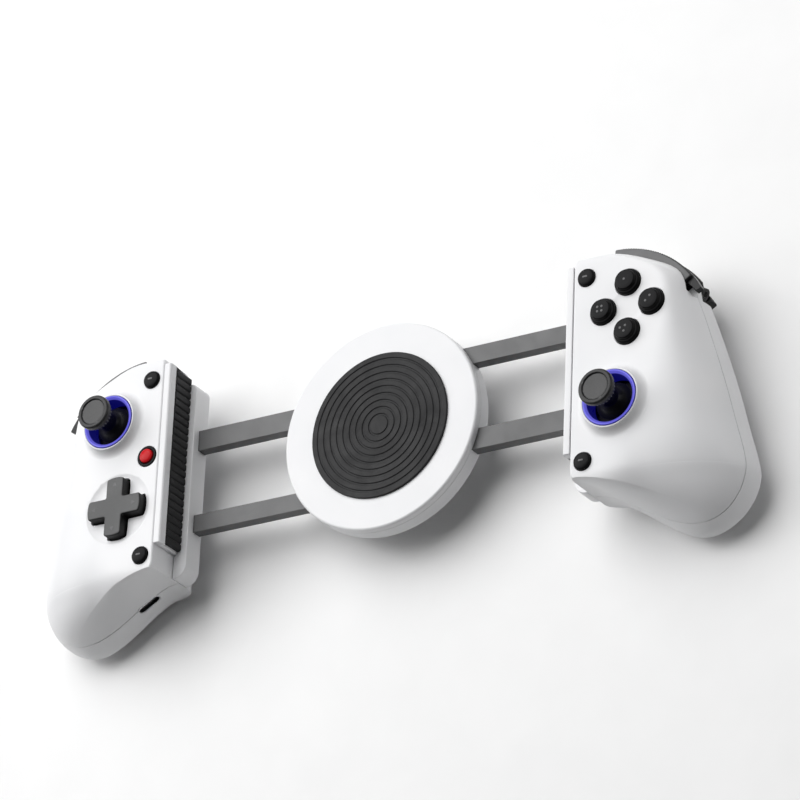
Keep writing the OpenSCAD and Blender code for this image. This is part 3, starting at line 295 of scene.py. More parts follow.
LIT = lit_finish()
print("finishes:", len(bpy.data.materials))

# %% [markdown]
# Thumb caps, rings, wells and buttons are round, so a lathe makes them: half of the outline is drawn once and
# spun about its axis. Real mouldings have no knife edges, so each corner of an outline carries a radius, and
# the helper swaps the corner for an arc. All the sizes below are in millimetres until a piece is finished.

# %% Outlines and turned shapes


def rounded(corners, closed=False, steps=5):
    """Points of an outline in which each corner (x, y, radius) is swapped for an arc."""
    count = len(corners)
    points = []
    for i, (x, y, radius) in enumerate(corners):
        here = Vector((x, y))
        if radius == 0 or (not closed and i in (0, count - 1)):
            points.append(here)
            continue
        before = (Vector(corners[i - 1][:2]) - here).normalized()
        after = (Vector(corners[(i + 1) % count][:2]) - here).normalized()
        half = before.angle(after) / 2
        middle = here + (before + after).normalized() * radius / math.sin(half)
        start = here + before * radius / math.tan(half) - middle
        stop = here + after * radius / math.tan(half) - middle
        sweep = start.angle(stop)
        for k in range(steps + 1):
            spoke = start * math.sin((1 - k / steps) * sweep) + stop * math.sin(k / steps * sweep)
            points.append(middle + spoke / math.sin(sweep))
    return points


def arc(centre, radii, start, stop, count):
    """Points on an elliptical arc between two angles in degrees."""
    points = []
    for i in range(count):
        angle = math.radians(start + (stop - start) * i / (count - 1))
        points.append(Vector((centre[0] + radii[0] * math.cos(angle), centre[1] + radii[1] * math.sin(angle))))
    return points


def closed_up(bm):
    """Merges doubled vertices and points the faces outwards."""
    bmesh.ops.remove_doubles(bm, verts=bm.verts, dist=0.0005)
    bmesh.ops.recalc_face_normals(bm, faces=bm.faces)
    return bm


def turned(profile, at=(0.0, 0.0), steps=64, ring=False):
    """Spins a half outline of (radius, height) points about an upright axis."""
    bm = bmesh.new()
    verts = [bm.verts.new((at[0] + r, at[1], z)) for r, z in profile]
    edges = [bm.edges.new(pair) for pair in zip(verts, verts[1:] + verts[:1] if ring else verts[1:])]
    centre = (at[0], at[1], 0)
    bmesh.ops.spin(
        bm, geom=verts + edges, cent=centre, axis=(0, 0, 1), angle=2 * math.pi, steps=steps, use_merge=True
    )
    return closed_up(bm)


def rod(radius, low, high, at=(0.0, 0.0), steps=32):
    """A plain round bar, used for posts, pegs and bores."""
    return turned([(0, low), (radius, low), (radius, high), (0, high)], at, steps)


def prism(outline, low, high):
    """Extrudes a closed outline between two heights."""
    bm = bmesh.new()
    face = bm.faces.new([bm.verts.new((x, y, low)) for x, y in outline])
    grown = bmesh.ops.extrude_face_region(bm, geom=[face])
    top = [v for v in grown["geom"] if isinstance(v, bmesh.types.BMVert)]
    bmesh.ops.translate(bm, vec=(0, 0, high - low), verts=top)
    return closed_up(bm)


def block(low, high):
    """A box between two corners."""
    low, high = Vector(low), Vector(high)
    bm = bmesh.new()
    bmesh.ops.create_cube(bm, size=1.0)
    bmesh.ops.scale(bm, vec=high - low, verts=bm.verts)
    bmesh.ops.translate(bm, vec=(low + high) / 2, verts=bm.verts)
    return bm


def lofted(rings):
    """A closed skin through a row of rings with equal point counts."""
    bm = bmesh.new()
    loops = []
    for points in rings:
        verts = [bm.verts.new(p) for p in points]
        loops.append([bm.edges.new(pair) for pair in zip(verts, verts[1:] + verts[:1])])
    for first, second in zip(loops, loops[1:]):
        bmesh.ops.bridge_loops(bm, edges=first + second)
    for end in (loops[0], loops[-1]):
        bmesh.ops.edgeloop_fill(bm, edges=end)
    return closed_up(bm)


def turned_by(degrees):
    """Matrix of a turn about the upright axis."""
    return Matrix.Rotation(math.radians(degrees), 4, "Z")


def placed(bm, matrix):
    """Moves or turns a whole shape."""
    bmesh.ops.transform(bm, matrix=matrix, verts=bm.verts)
    return bm


def bevelled(bm, width, limit=30, segments=3):
    """Rounds every edge that is sharper than the limit in degrees."""
    edges = [e for e in bm.edges if e.is_manifold and e.calc_face_angle() > math.radians(limit)]
    bmesh.ops.bevel(
        bm, geom=edges, offset=width, affect="EDGES", segments=segments, profile=0.5, material=-1,
        clamp_overlap=True,
    )
    return bm


def halved(bm, point, normal):
    """Keeps the part of a shape on the normal's side of a plane and closes it there."""
    everything = bm.verts[:] + bm.edges[:] + bm.faces[:]
    split = bmesh.ops.bisect_plane(bm, geom=everything, plane_co=point, plane_no=normal, clear_inner=True)
    bmesh.ops.edgeloop_fill(bm, edges=[e for e in split["geom_cut"] if isinstance(e, bmesh.types.BMEdge)])
    return closed_up(bm)


test_cap = turned(rounded([(0, 0, 0), (5, 0, 1), (5, 3, 1), (0, 3, 0)]))
print("a turned test cap has", len(test_cap.faces), "faces")
test_cap.free()

# %% [markdown]
# Shells are hollow mouldings with wells, slots and posts. They are made as a machinist would: a full body is
# lofted first, and then shapes are cut out of it or joined to it. The boolean runs on two throw-away objects,
# and its result comes back as one mesh.

# %% Cutting and joining


def combined(base, tool, operation):
    """Cuts one closed shape from another, or joins them, and frees both."""
    made = []
    for name, bm in (("base", base), ("tool", tool)):
        mesh = bpy.data.meshes.new(name)
        bm.to_mesh(mesh)
        bm.free()
        obj = bpy.data.objects.new(name, mesh)
        scene.collection.objects.link(obj)
        made.append(obj)
    modifier = made[0].modifiers.new("combine", "BOOLEAN")
    modifier.operation = operation
    modifier.solver = "MANIFOLD"
    modifier.object = made[1]
    shaped = made[0].evaluated_get(bpy.context.evaluated_depsgraph_get())
    result = bmesh.new()
    result.from_mesh(shaped.to_mesh())
    shaped.to_mesh_clear()
    for obj in made:
        mesh = obj.data
        bpy.data.objects.remove(obj)
        bpy.data.meshes.remove(mesh)
    return result


def cut(base, *tools):
    """Takes several shapes out of a body."""
    for tool in tools:
        base = combined(base, tool, "DIFFERENCE")
    return base


def join(base, *tools):
    """Joins several shapes to a body."""
    for tool in tools:
        base = combined(base, tool, "UNION")
    return base


def gathered(shapes):
    """Puts several closed shapes into one mesh and frees them."""
    whole = bmesh.new()
    for bm in shapes:
        mesh = bpy.data.meshes.new("loose")
        bm.to_mesh(mesh)
        bm.free()
        whole.from_mesh(mesh)
        bpy.data.meshes.remove(mesh)
    return whole


def ribs_round(at, low, high, angles):
    """Small blocks with rounded edges, set round a centre at angles in degrees."""
    ribs = []
    for angle in angles:
        rib = bevelled(block(low, high), 0.1, segments=2)
        ribs.append(placed(rib, Matrix.Translation((*at, 0)) @ turned_by(angle)))
    return gathered(ribs)


CREASE = math.radians(32)


def piece(name, bm, finish, body, nodes=(), left=False):
    """Finishes a shape: mirrors it for the left side, scales it to metres, shades it and lets it ride."""
    if left:
        bmesh.ops.scale(bm, vec=(-1, 1, 1), verts=bm.verts)
        bmesh.ops.reverse_faces(bm, faces=bm.faces)
    bmesh.ops.scale(bm, vec=(MM, MM, MM), verts=bm.verts)
    mesh = bpy.data.meshes.new(name)
    bm.to_mesh(mesh)
    bm.free()
    mesh.shade_smooth()
    mesh.set_sharp_from_angle(angle=CREASE)
    mesh.materials.append(finish)
    obj = bpy.data.objects.new(name, mesh)
    scene.collection.objects.link(obj)
    even = obj.modifiers.new("even_shading", "WEIGHTED_NORMAL")
    even.keep_sharp = True
    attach(obj, body)
    if nodes:
        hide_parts(*nodes)
    print(f"{name}: {len(mesh.polygons)} faces on {body}")


def side_piece(word, name, bm, finish, body, node=None):
    """A piece of one handle. It is drawn for the right one, and mirrored for the left one."""
    nodes = [f"{word}_{node}"] if node else ()
    piece(f"{word}_{name}", bm, finish, f"{word}_{body}", nodes, word == "left")


test_block = cut(block((0, 0, 0), (4, 4, 4)), block((1, 1, 1), (3, 3, 5)))
print("a block with a pocket has", len(test_block.faces), "faces, volume", round(test_block.calc_volume(), 2))
test_block.free()

# %% [markdown]
# The handle is a lofted form, like a game pad's grip. Each cross-section has a flat face with tight inner
# corners beside the bay, a wide elliptical rounding on the outer side and a deep belly behind. A table gives
# the reach, depth and roundings at eight heights, and smooth curves run between them. Past the bay the face
# bends down, earlier on the outer side than beside the bay, and the section closes to a blunt tip.

# %% Handle sections
WALL_X = box_mm("right_front_shell")[0].x
FACE_Z = box_mm("right_rail")[1].z
GRIP_W = 53.85
GRIP_BOTTOM = 55.4
GRIP_DEPTH = 18.15
GRIP_TOP = 35.5
WAIST_Z = -6.0
PARTING_Z = 0.2
PARTING_SLOPE = 0.12
SHELL_WALL = 2.0
CAVITY_X = WALL_X + SHELL_WALL
CLOSE_Y = -37.3
LEAVE_Y = -38.6
TIP_X = 36.0
TIP_Y = CLOSE_Y - (GRIP_BOTTOM + CLOSE_Y) * 0.985
TOP_EDGE = 2.5
BEND_Y = -38.0
BEND_SLOPE = 0.15
BEND_SOFT = 3.0
ROLL_Y = -38.5
ROLL_EARLIER = 12.5
ROLL_CURVE = 95.0
TIGHT = 0.8
BELLY_ROUND = 6.0
LOFT_RINGS, LOFT_COUNTS = (46, 34), (7, 26, 26, 12)
SECTIONS = (
    (35.5, 0.36, 0.333, 9.0, 10.0),
    (27.0, 0.66, 0.523, 9.0, 16.0),
    (16.0, 0.74, 0.713, 9.0, 20.0),
    (2.0, 0.82, 0.894, 15.0, 22.0),
    (-12.0, 0.89, 0.951, 21.0, 24.0),
    (-26.0, 0.95, 0.951, 28.0, 27.0),
    (-34.0, 0.985, 0.97, 32.0, 28.0),
    (-40.0, 0.998, 1.0, 34.0, 28.0),
)


def clamp(value, low, high):
    """Holds a value between two limits."""
    return max(low, min(high, value))


def row_slope(i, column):
    """Slope of a column at a row, from the rows beside it; level at the last row."""
    if i == len(SECTIONS) - 1:
        return 0.0
    a, b = SECTIONS[max(i - 1, 0)], SECTIONS[i + 1]
    return (b[column] - a[column]) / (b[0] - a[0])


def section_value(y, column):
    """Smooth value of one column of the table at a height."""
    y = clamp(y, SECTIONS[-1][0], SECTIONS[0][0])
    i = clamp(sum(row[0] >= y for row in SECTIONS) - 1, 0, len(SECTIONS) - 2)
    upper, lower = SECTIONS[i], SECTIONS[i + 1]
    run = lower[0] - upper[0]
    t = (y - upper[0]) / run
    return (
        upper[column] * (2 * t**3 - 3 * t**2 + 1)
        + run * row_slope(i, column) * (t**3 - 2 * t**2 + t)
        + lower[column] * (3 * t**2 - 2 * t**3)
        + run * row_slope(i + 1, column) * (t**3 - t**2)
    )


def face_at(y):
    """Height of the handle's face, which bends down past the bay."""
    past = BEND_Y - y
    return FACE_Z - BEND_SLOPE * (math.hypot(past, BEND_SOFT) + past) / 2


def parting_at(y):
    """Height of the plane where the shells meet."""
    return PARTING_Z + PARTING_SLOPE * y


def eased(value, start, stop):
    """Smooth step from 0 to 1 between two values."""
    t = clamp((value - start) / (stop - start), 0, 1)
    return t * t * (3 - 2 * t)


def soft_least(a, b):
    """Lesser of two lengths, with a smooth change from one to the other."""
    return (a**-6 + b**-6) ** (-1 / 6)


def section_ring(y, inset, counts):
    """One cross-section: four elliptical corners, drawn in by an inset, and a face that rolls off."""
    middle = WAIST_Z + PARTING_SLOPE * y
    closing = clamp((CLOSE_Y - y) / (CLOSE_Y + GRIP_BOTTOM), 0, 1)
    wide = math.sqrt(1 - closing * closing)
    leaving = clamp((LEAVE_Y + inset - y) / (LEAVE_Y + GRIP_BOTTOM), 0, 1)
    past = max(y - GRIP_TOP + TOP_EDGE, 0)
    drawn = 0 if inset else TOP_EDGE - math.sqrt(max(TOP_EDGE**2 - past**2, 0))
    inner = TIP_X * (0.5 - math.sin(math.asin(1 - 2 * leaving) / 3)) + inset + drawn * 0.6
    outer = TIP_X + (GRIP_W * section_value(y, 1) - TIP_X) * wide**1.15 - inset - drawn
    front = middle + (face_at(y) - middle) * wide - inset - drawn * 0.6
    back = middle - (GRIP_DEPTH * section_value(y, 2) + middle) * wide + inset + drawn
    width = outer - inner
    share = eased(y, -37.0, -45.0)
    under = eased(y, -24.0, -38.0)
    widest = 0.4 * width
    front_in = soft_least(TIGHT + share * 7.0 + eased(y, -40.0, -52.0) * 6.0, 0.55 * width)
    front_in_h = TIGHT + share * ((front - middle) * 0.95 - TIGHT)
    front_out = soft_least(section_value(y, 3), 0.95 * (width - front_in))
    back_in = min(BELLY_ROUND, widest) * (1 - under) + under * widest
    back_low = min(BELLY_ROUND, 0.95 * (middle - back))
    back_in_h = back_low + under * (0.95 * (middle - back) - back_low)
    back_out = soft_least(section_value(y, 4), 0.95 * (width - back_in))
    level = outer - front_out - inner - front_in
    outline = (
        arc((inner + front_in, front - front_in_h), (front_in, front_in_h), 180, 90, counts[0])
        + [Vector((inner + front_in + level * k / 10, front)) for k in range(1, 10)]
        + arc((outer - front_out, middle), (front_out, front - middle), 90, 0, counts[1])
        + arc((outer - back_out, middle), (back_out, middle - back), -2, -90, counts[2])
        + arc((inner + back_in, back + back_in_h), (back_in, back_in_h), -90, -180, counts[3])
    )
    for p in outline:
        past = max(ROLL_Y + ROLL_EARLIER * eased(p.x, 8, 26) - y, 0)
        p.y -= max(p.y - middle, 0) / (face_at(y) - middle) * past**2 / ROLL_CURVE
    return [(WALL_X + p.x, y, p.y) for p in outline]


def spaced(top, bottom, count):
    """Heights from top to bottom that lie closer at both ends."""
    return [bottom + (top - bottom) * (1 + math.cos(math.pi * i / (count - 1))) / 2 for i in range(count)]


def handle_loft(inset, top, bottom, rings, counts):
    """The handle's skin from its top down, with the rings closest where it leaves the bay."""
    turn = LEAVE_Y + inset
    heights = spaced(top, turn, rings[0]) + spaced(turn, bottom, rings[1])[1:]
    return lofted([section_ring(y, inset, counts) for y in heights])


solid = handle_loft(0.0, GRIP_TOP, TIP_Y, LOFT_RINGS, LOFT_COUNTS)
print("handle loft:", len(solid.faces), "faces, volume in cm3", round(solid.calc_volume() / 1000, 1))
solid.free()

# %% [markdown]
# Each handle is two mouldings that meet at a slanting parting plane, which shows as a fine line round the grip.
# The solid loft is split there with a bisecting plane, hollowed with a smaller loft, and the pocket for the
# shoulder buttons is cut as a band round the shoulder's centre. The pocket is narrower at its outer end, where
# the bumper draws back from the wall, so that the shell closes round it. The block at the bumper's end has its
# own room, which is deeper, so that it can be pressed.

# %% Split and hollow handle
PARTING_GAP = 0.24
SHOULDER = Vector((WALL_X + 9.6, 4.0))
BUMPER_R = 34.9
BUMPER_THICK, BUMPER_SHIFT = 4.4, 1.5
POCKET_R = BUMPER_R - 7.4
POCKET_ROOF = 6.6
BEYOND = 70
HOLLOW_TIP_Y = -48.0
HOLLOW_RINGS, HOLLOW_COUNTS = (20, 14), (5, 14, 14, 8)
DRAW_BACK = (44, 27)
BUMPER_FROM, BUMPER_TO = 34.9, 87
LYING = Matrix.Rotation(math.radians(90), 4, "X")
AT_SHOULDER = Matrix.Translation((*SHOULDER, 0)) @ turned_by(57)
PIN_AT, PIN_Z = 30.0, -2.7
PIN_BORE = 1.04
PIN_PLACE = Matrix.Translation((PIN_AT, 0, PIN_Z)) @ LYING


def pocket_inside(angle):
    """Radius of the pocket's wall behind the bumper."""
    return POCKET_R + 3.4 * eased(angle, *DRAW_BACK)


def bumper_inside(angle):
    """Radius of the bumper's inner side: a circle off the centre, drawn back at the outer end."""
    turn = math.radians(angle)
    circle = BUMPER_R - BUMPER_THICK - BUMPER_SHIFT * math.sin(math.radians(22))
    reach = BUMPER_SHIFT * math.sin(turn) + math.sqrt(circle**2 - (BUMPER_SHIFT * math.cos(turn)) ** 2)
    return reach + 2.4 * eased(angle, *DRAW_BACK)


def band(inside, outside, start, stop, low, high):
    """A block about the shoulder's centre between two radii, the inner one given at each angle."""
    angles = [math.radians(start + (stop - start) * i / 48) for i in range(49)]
    spokes = [Vector((math.cos(a), math.sin(a))) for a in angles]
    inner = [SHOULDER + spoke * inside(math.degrees(a)) for a, spoke in zip(angles, spokes)]
    outer = [SHOULDER + spoke * outside for spoke in spokes]
    return prism(outer + inner[::-1], low, high)


def half_handle(front):
    """One hollow half of the handle with the shoulder pocket cut out."""
    side = Vector((0, -PARTING_SLOPE, 1)).normalized() * (1 if front else -1)
    point = Vector((0, 0, PARTING_Z)) + side * PARTING_GAP / 2
    bm = halved(handle_loft(0.0, GRIP_TOP, TIP_Y, LOFT_RINGS, LOFT_COUNTS), point, side)
    hollow = handle_loft(SHELL_WALL, GRIP_TOP - SHELL_WALL, HOLLOW_TIP_Y, HOLLOW_RINGS, HOLLOW_COUNTS)
    hollow = cut(hollow, band(lambda angle: POCKET_R - SHELL_WALL, BEYOND, 15, 96, -40, 30))
    trigger_room = band(lambda angle: POCKET_R, BEYOND, 24, 92, -40, 0.25)
    bumper_room = band(pocket_inside, BEYOND, 33.0, 92, 0.2, POCKET_ROOF)
    end_room = band(lambda angle: bumper_inside(angle) - 2.0, BEYOND, 24.6, 33.2, 2.3, POCKET_ROOF)
    return cut(bm, hollow, trigger_room, bumper_room, end_room)


radii = [round(pocket_inside(angle), 1) for angle in DRAW_BACK]
print("the pocket's wall draws back between the radii", radii)

# %% [markdown]
# The face carries the wells of the controls. A well's rim is rolled over with a small radius, because a sharp
# rim would chip and would catch no light, so its cutter flares at the top. The stick's collar is a ring with a
# hollow flank that runs out into the face, and it is joined to the shell.

# %% Wells and collars
UPPER = (WALL_X + 19.1, 15.0)
LOWER = (WALL_X + 14.8, -15.8)
SMALL_X = WALL_X + 4.6
SMALL_HEIGHTS = {"top": 28.1, "bottom": -34.0, "red": 0.8}
RED_AT = (SMALL_X, SMALL_HEIGHTS["red"])
INNER_Z = FACE_Z - SHELL_WALL
BOARD_TOP = FACE_Z - 8.8
RING_R = 9.15
RING_GAP = 0.15
RING_TOP = FACE_Z + 3.0
COLLAR_R = 12.6
FACE_BUTTON_R = 4.3
FACE_BUTTON_OFFSET = 8.35
SMALL_BUTTON_R = 2.9
BUTTON_GAP = 0.2
WELL_LOW = 4
PAD_R, PAD_W, PAD_GAP = 10.3, 6.5, 0.6
COMPASS = {"north": 90, "east": 0, "south": 270, "west": 180}


def well(at, radius, low, rim_z, rim):
    """A round cutter whose rim rolls over into the face."""
    roll = arc((radius + rim, rim_z - rim), (rim, rim), 180, 90, 6)
    top = rim_z + 4
    return turned([(0, low), (radius, low), *roll, (radius + rim, top), (0, top)], at, 56)


def collar():
    """Outline of the white collar round a stick, with a hollow flank."""
    edge = RING_R + RING_GAP
    flank = arc((COLLAR_R, RING_TOP - 0.02), (COLLAR_R - edge - 0.55, 3.0), 270, 192, 14)
    lip = RING_TOP - 0.3
    rim = [(*flank[-1], 0), (edge + 0.5, lip, 0.16), (edge, lip, 0.16), (edge, INNER_Z, 0)]
    return [(edge, INNER_Z + 0.2), (COLLAR_R, INNER_Z + 0.2), *flank, *rounded(rim, steps=3)[1:-1]]


def cross_outline(radius, width, inner_round, outer_round):
    """A cross whose arm ends lie on a circle."""
    half = width / 2
    reach = math.sqrt(radius**2 - half**2)
    spread = math.degrees(math.asin(half / radius)) * 0.6
    corners = []
    for k in range(4):
        turn = Matrix.Rotation(math.radians(90 * k), 2)
        end = [(*p, 0) for p in arc((0, 0), (radius, radius), -spread, spread, 7)]
        arm = [(half, -half, inner_round), (reach, -half, outer_round), *end, (reach, half, outer_round)]
        corners += [(*(turn @ Vector((x, y))), r) for x, y, r in arm]
    return rounded(corners, closed=True, steps=5)


def plate_outline(half_x, half_y, radius, steps=5):
    """A centred rectangle with rounded corners."""
    signs = ((1, 1), (-1, 1), (-1, -1), (1, -1))
    return rounded([(half_x * i, half_y * j, radius) for i, j in signs], closed=True, steps=steps)


def shifted(outline, at):
    """Moves an outline."""
    return [(p[0] + at[0], p[1] + at[1]) for p in outline]


def stick_place(left):
    """Centre of a stick, which is the upper control on the left and the lower one on the right."""
    return UPPER if left else LOWER


def face_button_place(name):
    """Centre of a face button."""
    angle = math.radians(COMPASS[name])
    return (UPPER[0] + FACE_BUTTON_OFFSET * math.cos(angle), UPPER[1] + FACE_BUTTON_OFFSET * math.sin(angle))


def dish():
    """Cutter of the shallow dish round the directional pad."""
    deep = 0.9
    bowl = [(6.5 + 5.9 * k / 14, FACE_Z - deep * math.cos(math.pi / 2 * (k / 14) ** 2)) for k in range(15)]
    lip = [(12.55, FACE_Z + 0.03), (13.5, FACE_Z + 0.08), (13.5, FACE_Z + 3), (0, FACE_Z + 3)]
    return turned([(0, FACE_Z - deep), *bowl, *lip], LOWER, 96)


def diamond():
    """Cutter of the shallow diamond between the face buttons, with a soft edge."""
    half = FACE_BUTTON_OFFSET + 0.35
    outline = rounded([(half, 0, 1), (0, half, 1), (-half, 0, 1), (0, -half, 1)], closed=True)
    rings = []
    for k in range(11):
        size, z = 0.6 + 0.04 * k, FACE_Z - 0.3 * math.cos(math.pi / 2 * k / 10) + 0.002 * k
        rings.append([(UPPER[0] + p.x * size, UPPER[1] + p.y * size, z) for p in outline])
    rings.append([(x, y, FACE_Z + 3) for x, y, _ in rings[-1]])
    return lofted(rings)


print("face wells for", ", ".join(COMPASS), "and small buttons", ", ".join(SMALL_HEIGHTS))

# %% [markdown]
# Inside, posts take the screws and channels let the arms through. They hardly show, but a shell without them
# would be a toy: the screws need something to hold, and the recesses of their heads show on the back.

# %% Posts, channels and socket
SCREWS = (
    (36.6, -8.0, 7.2, -14.2, -11.8),
    (27.6, -32.0, 9.2, -16.0, -13.5),
    (5.8, -27.4, 10.0, -16.0, -13.0),
)
SCREW_R, SCREW_HEAD_R = 1.15, 2.1
FRONT_POST_R, BACK_POST_R = 2.4, 2.7
ARM_TOP = -3.5
ARM_LOW = -7.5
ARM_CLEAR = 0.15
BARS = ((-14.0, -7.0), (16.0, 22.0))
SOCKET_PLACE = Matrix.Translation((WALL_X + 12.2, -43.1, -6.2)) @ turned_by(-31)


def posts(front):
    """Screw posts of one shell."""
    shapes = []
    for x, y, top, bottom, _ in SCREWS:
        at, meet = (WALL_X + x, y), parting_at(y)
        if front:
            shapes.append(rod(FRONT_POST_R, meet + 0.1, top, at))
        else:
            shapes.append(rod(BACK_POST_R, bottom, meet - 0.1, at))
    return shapes


def screw_hole(at, low, seat, end):
    """Bore of a screw with the recess of its head."""
    head, bore = SCREW_HEAD_R + 0.1, SCREW_R + 0.05
    return turned([(0, low), (head, low), (head, seat), (bore, seat), (bore, end), (0, end)], at, 40)


def screw_holes():
    """Bores of the screws of one handle."""
    return [screw_hole((WALL_X + x, y), -30, seat, parting_at(y) + 5.1) for x, y, _, _, seat in SCREWS]


def bar_room(x_low, x_high, y_low, y_high):
    """Room for a bar of an arm, with its clearance."""
    low = (x_low, y_low - ARM_CLEAR, ARM_LOW - ARM_CLEAR)
    return block(low, (x_high, y_high + ARM_CLEAR, ARM_TOP + ARM_CLEAR))


def arm_channels(left):
    """Passages of the two bars and the room for the tie between them."""
    flip = -1 if left else 1
    shapes = []
    spans = [(WALL_X - 8, CAVITY_X + 1, *bar) for bar in BARS]
    spans.append((CAVITY_X + ARM_CLEAR, CAVITY_X + 5.45, BARS[0][0], BARS[1][1]))
    for x_low, x_high, first, second in spans:
        low, high = sorted((flip * first, flip * second))
        shapes.append(bar_room(x_low, x_high, low, high))
    return shapes


def socket_slot():
    """Rounded slot that runs out of the handle's lower side."""
    outline = plate_outline(4.6, 1.699, 1.699, 8)
    return placed(prism(outline, -12, 20), SOCKET_PLACE @ LYING.inverted())


def front_shell(left):
    """Front shell with its collar, wells and recesses."""
    at = stick_place(left)
    bm = join(half_handle(True), turned(collar(), at, 96, ring=True), *posts(True))
    tools = [well(at, RING_R + RING_GAP, INNER_Z - 2, FACE_Z + 5, 0.1)]
    for key in ("top", "bottom"):
        y = SMALL_HEIGHTS[key]
        tools.append(well((SMALL_X, y), SMALL_BUTTON_R + BUTTON_GAP, WELL_LOW, face_at(y), 0.12))
    if left:
        hole = cross_outline(PAD_R + PAD_GAP, PAD_W + 2 * PAD_GAP, 0.5, 1.0)
        tools += [dish(), prism(shifted(hole, LOWER), 5, FACE_Z + 3)]
        tools += [well(RED_AT, 3.7, FACE_Z - 1, FACE_Z, 0.12), well(RED_AT, 3.1, WELL_LOW, FACE_Z, 0.02)]
        tools.append(socket_slot())
    else:
        tools.append(diamond())
        radius = FACE_BUTTON_R + BUTTON_GAP
        tools += [well(face_button_place(n), radius, WELL_LOW, FACE_Z, 0.3) for n in COMPASS]
    return cut(bm, *tools, *screw_holes())


def trigger_ears():
    """Ears of the back shell that hold the trigger's pin."""
    corners = [(22, -1.9, 0), (31.85, -1.9, 1.89), (31.85, 1.9, 1.89), (22, 1.9, 0)]
    outline = rounded(corners, closed=True, steps=8)
    upright = AT_SHOULDER @ Matrix.Translation((0, 0, PIN_Z)) @ LYING
    ends = ((-15.0, -13.4), (13.4, 15.0))
    return gathered([placed(prism(outline, low, high), upright) for low, high in ends])


def back_shell(left):
    """Back shell with its posts, recesses and passages."""
    bm = cut(join(half_handle(False), *posts(False)), *screw_holes(), *arm_channels(left))
    return cut(bm, socket_slot()) if left else bm


for word, left in SIDES:
    side_piece(word, "front_shell_moulding", front_shell(left), WHITE, "handle", "front_shell")
    side_piece(word, "back_shell_moulding", back_shell(left), WHITE, "handle", "back_shell")
    side_piece(word, "trigger_ears", trigger_ears(), BLACK, "handle")

# %% [markdown]
# A thumb stick is a stack: a lit ring let into the collar, a black dome that slides under it, a slim neck and a
# cap. The cap is turned, with a raised rim round a dished pad and a second tier below it that has short ribs.
# The dome is turned about the point that it tilts round, so it keeps its gap to the ring.

# %% Sticks
RING_IN = RING_R - 1.25
RING_LOW = INNER_Z - 1.2
PIVOT_Z = BOARD_TOP + 2.9
DOME_R = math.hypot(RING_IN, RING_LOW - PIVOT_Z) - 0.3
DOME_IN = DOME_R - 1.2
CAP_TOP_Z = FACE_Z + 11.6
CAP_LOW_Z = CAP_TOP_Z - 3.6
CAP_R = 5.9
NECK_R = 3.2


def light_ring(at):
    """Light guide with a bevelled inner edge and a flange under the face."""
    flange, step = 10.15, RING_LOW + 1.0
    corners = [(RING_IN, RING_LOW, 0), (flange, RING_LOW, 0.1), (flange, step, 0.1), (RING_R, step, 0.1)]
    corners += [(RING_R, RING_TOP, 0.28), (RING_IN + 0.72, RING_TOP, 0.28), (RING_IN, RING_TOP - 0.62, 0.2)]
    return turned(rounded(corners, closed=True), at, 96, ring=True)


def stick_dome(at):
    """Shaft, domed skirt and waisted neck."""
    edge = 40
    outside = arc((0, PIVOT_Z), (DOME_R, DOME_R), edge, 60, 14)
    inside = arc((0, PIVOT_Z), (DOME_IN, DOME_IN), 81, edge, 14)
    start, end = outside[-1], CAP_LOW_Z + 1.6
    slim = NECK_R - 0.35
    waist = rounded([(*start, 0), (slim, PIVOT_Z + DOME_R + 0.05, 0.8), (slim, end - 2.4, 0)])
    neck = rounded([(*waist[-1], 0), (NECK_R, end - 1.9, 0.2), (NECK_R, end, 0), (0, end, 0)])
    shaft = [(0, PIVOT_Z - 1.3), (1.3, PIVOT_Z - 1.3)]
    return turned(shaft + inside + outside[:-1] + waist + neck[1:], at, 72)


def thumb_cap(at):
    """Cap with a raised rim over a second tier."""
    top, flange, low = CAP_TOP_Z, CAP_TOP_Z - 2.0, CAP_LOW_Z
    bore, tier = NECK_R + 0.05, CAP_R - 0.7
    corners = [(0, low + 1.62, 0), (bore, low + 1.62, 0), (bore, low, 0.15), (tier, low, 0.6)]
    corners += [(tier, flange, 0.12), (CAP_R, flange, 0.3), (CAP_R, top, 0.75), (CAP_R - 1.35, top, 0.3)]
    corners += [(CAP_R - 1.6, top - 0.5, 0.12), (0, top - 0.62, 0)]
    return turned(rounded(corners, steps=6), at, 88)


def cap_pad(at):
    """Dished pad inside the rim of a cap."""
    top = CAP_TOP_Z - 0.38
    dish_points = [(r, top - 0.16 * (1 - (r / 4.05) ** 2)) for r in (4.05, 3.4, 2.7, 2.0, 1.3, 0.6)]
    return turned([(0, top - 0.3), (4.2, top - 0.3), (4.2, top - 0.06), *dish_points, (0, top - 0.16)], at, 72)


def cap_grip(at):
    """Ring of short ribs round the second tier."""
    low, high = (4.7, -0.17, CAP_TOP_Z - 3.3), (5.34, 0.17, CAP_TOP_Z - 2.05)
    return ribs_round(at, low, high, range(0, 360, 12))


for word, left in SIDES:
    at = stick_place(left)
    side_piece(word, "ring_guide", light_ring(at), LIT, "handle", "light_ring")
    side_piece(word, "stick_dome", stick_dome(at), BLACK, "stick", "stick")
    side_piece(word, "thumb_cap", thumb_cap(at), CAP, "stick", "cap")
    side_piece(word, "cap_pad", cap_pad(at), CAP_TOP, "stick")
    side_piece(word, "cap_grip", cap_grip(at), CAP, "stick")

# %% [markdown]
# The directional pad is one moulding: a cross on a round flange that stays under the face. Its sides are
# painted darker than its top, as shade. The small arrows are shallow painted triangles, so they are separate
# thin solids just above the top.

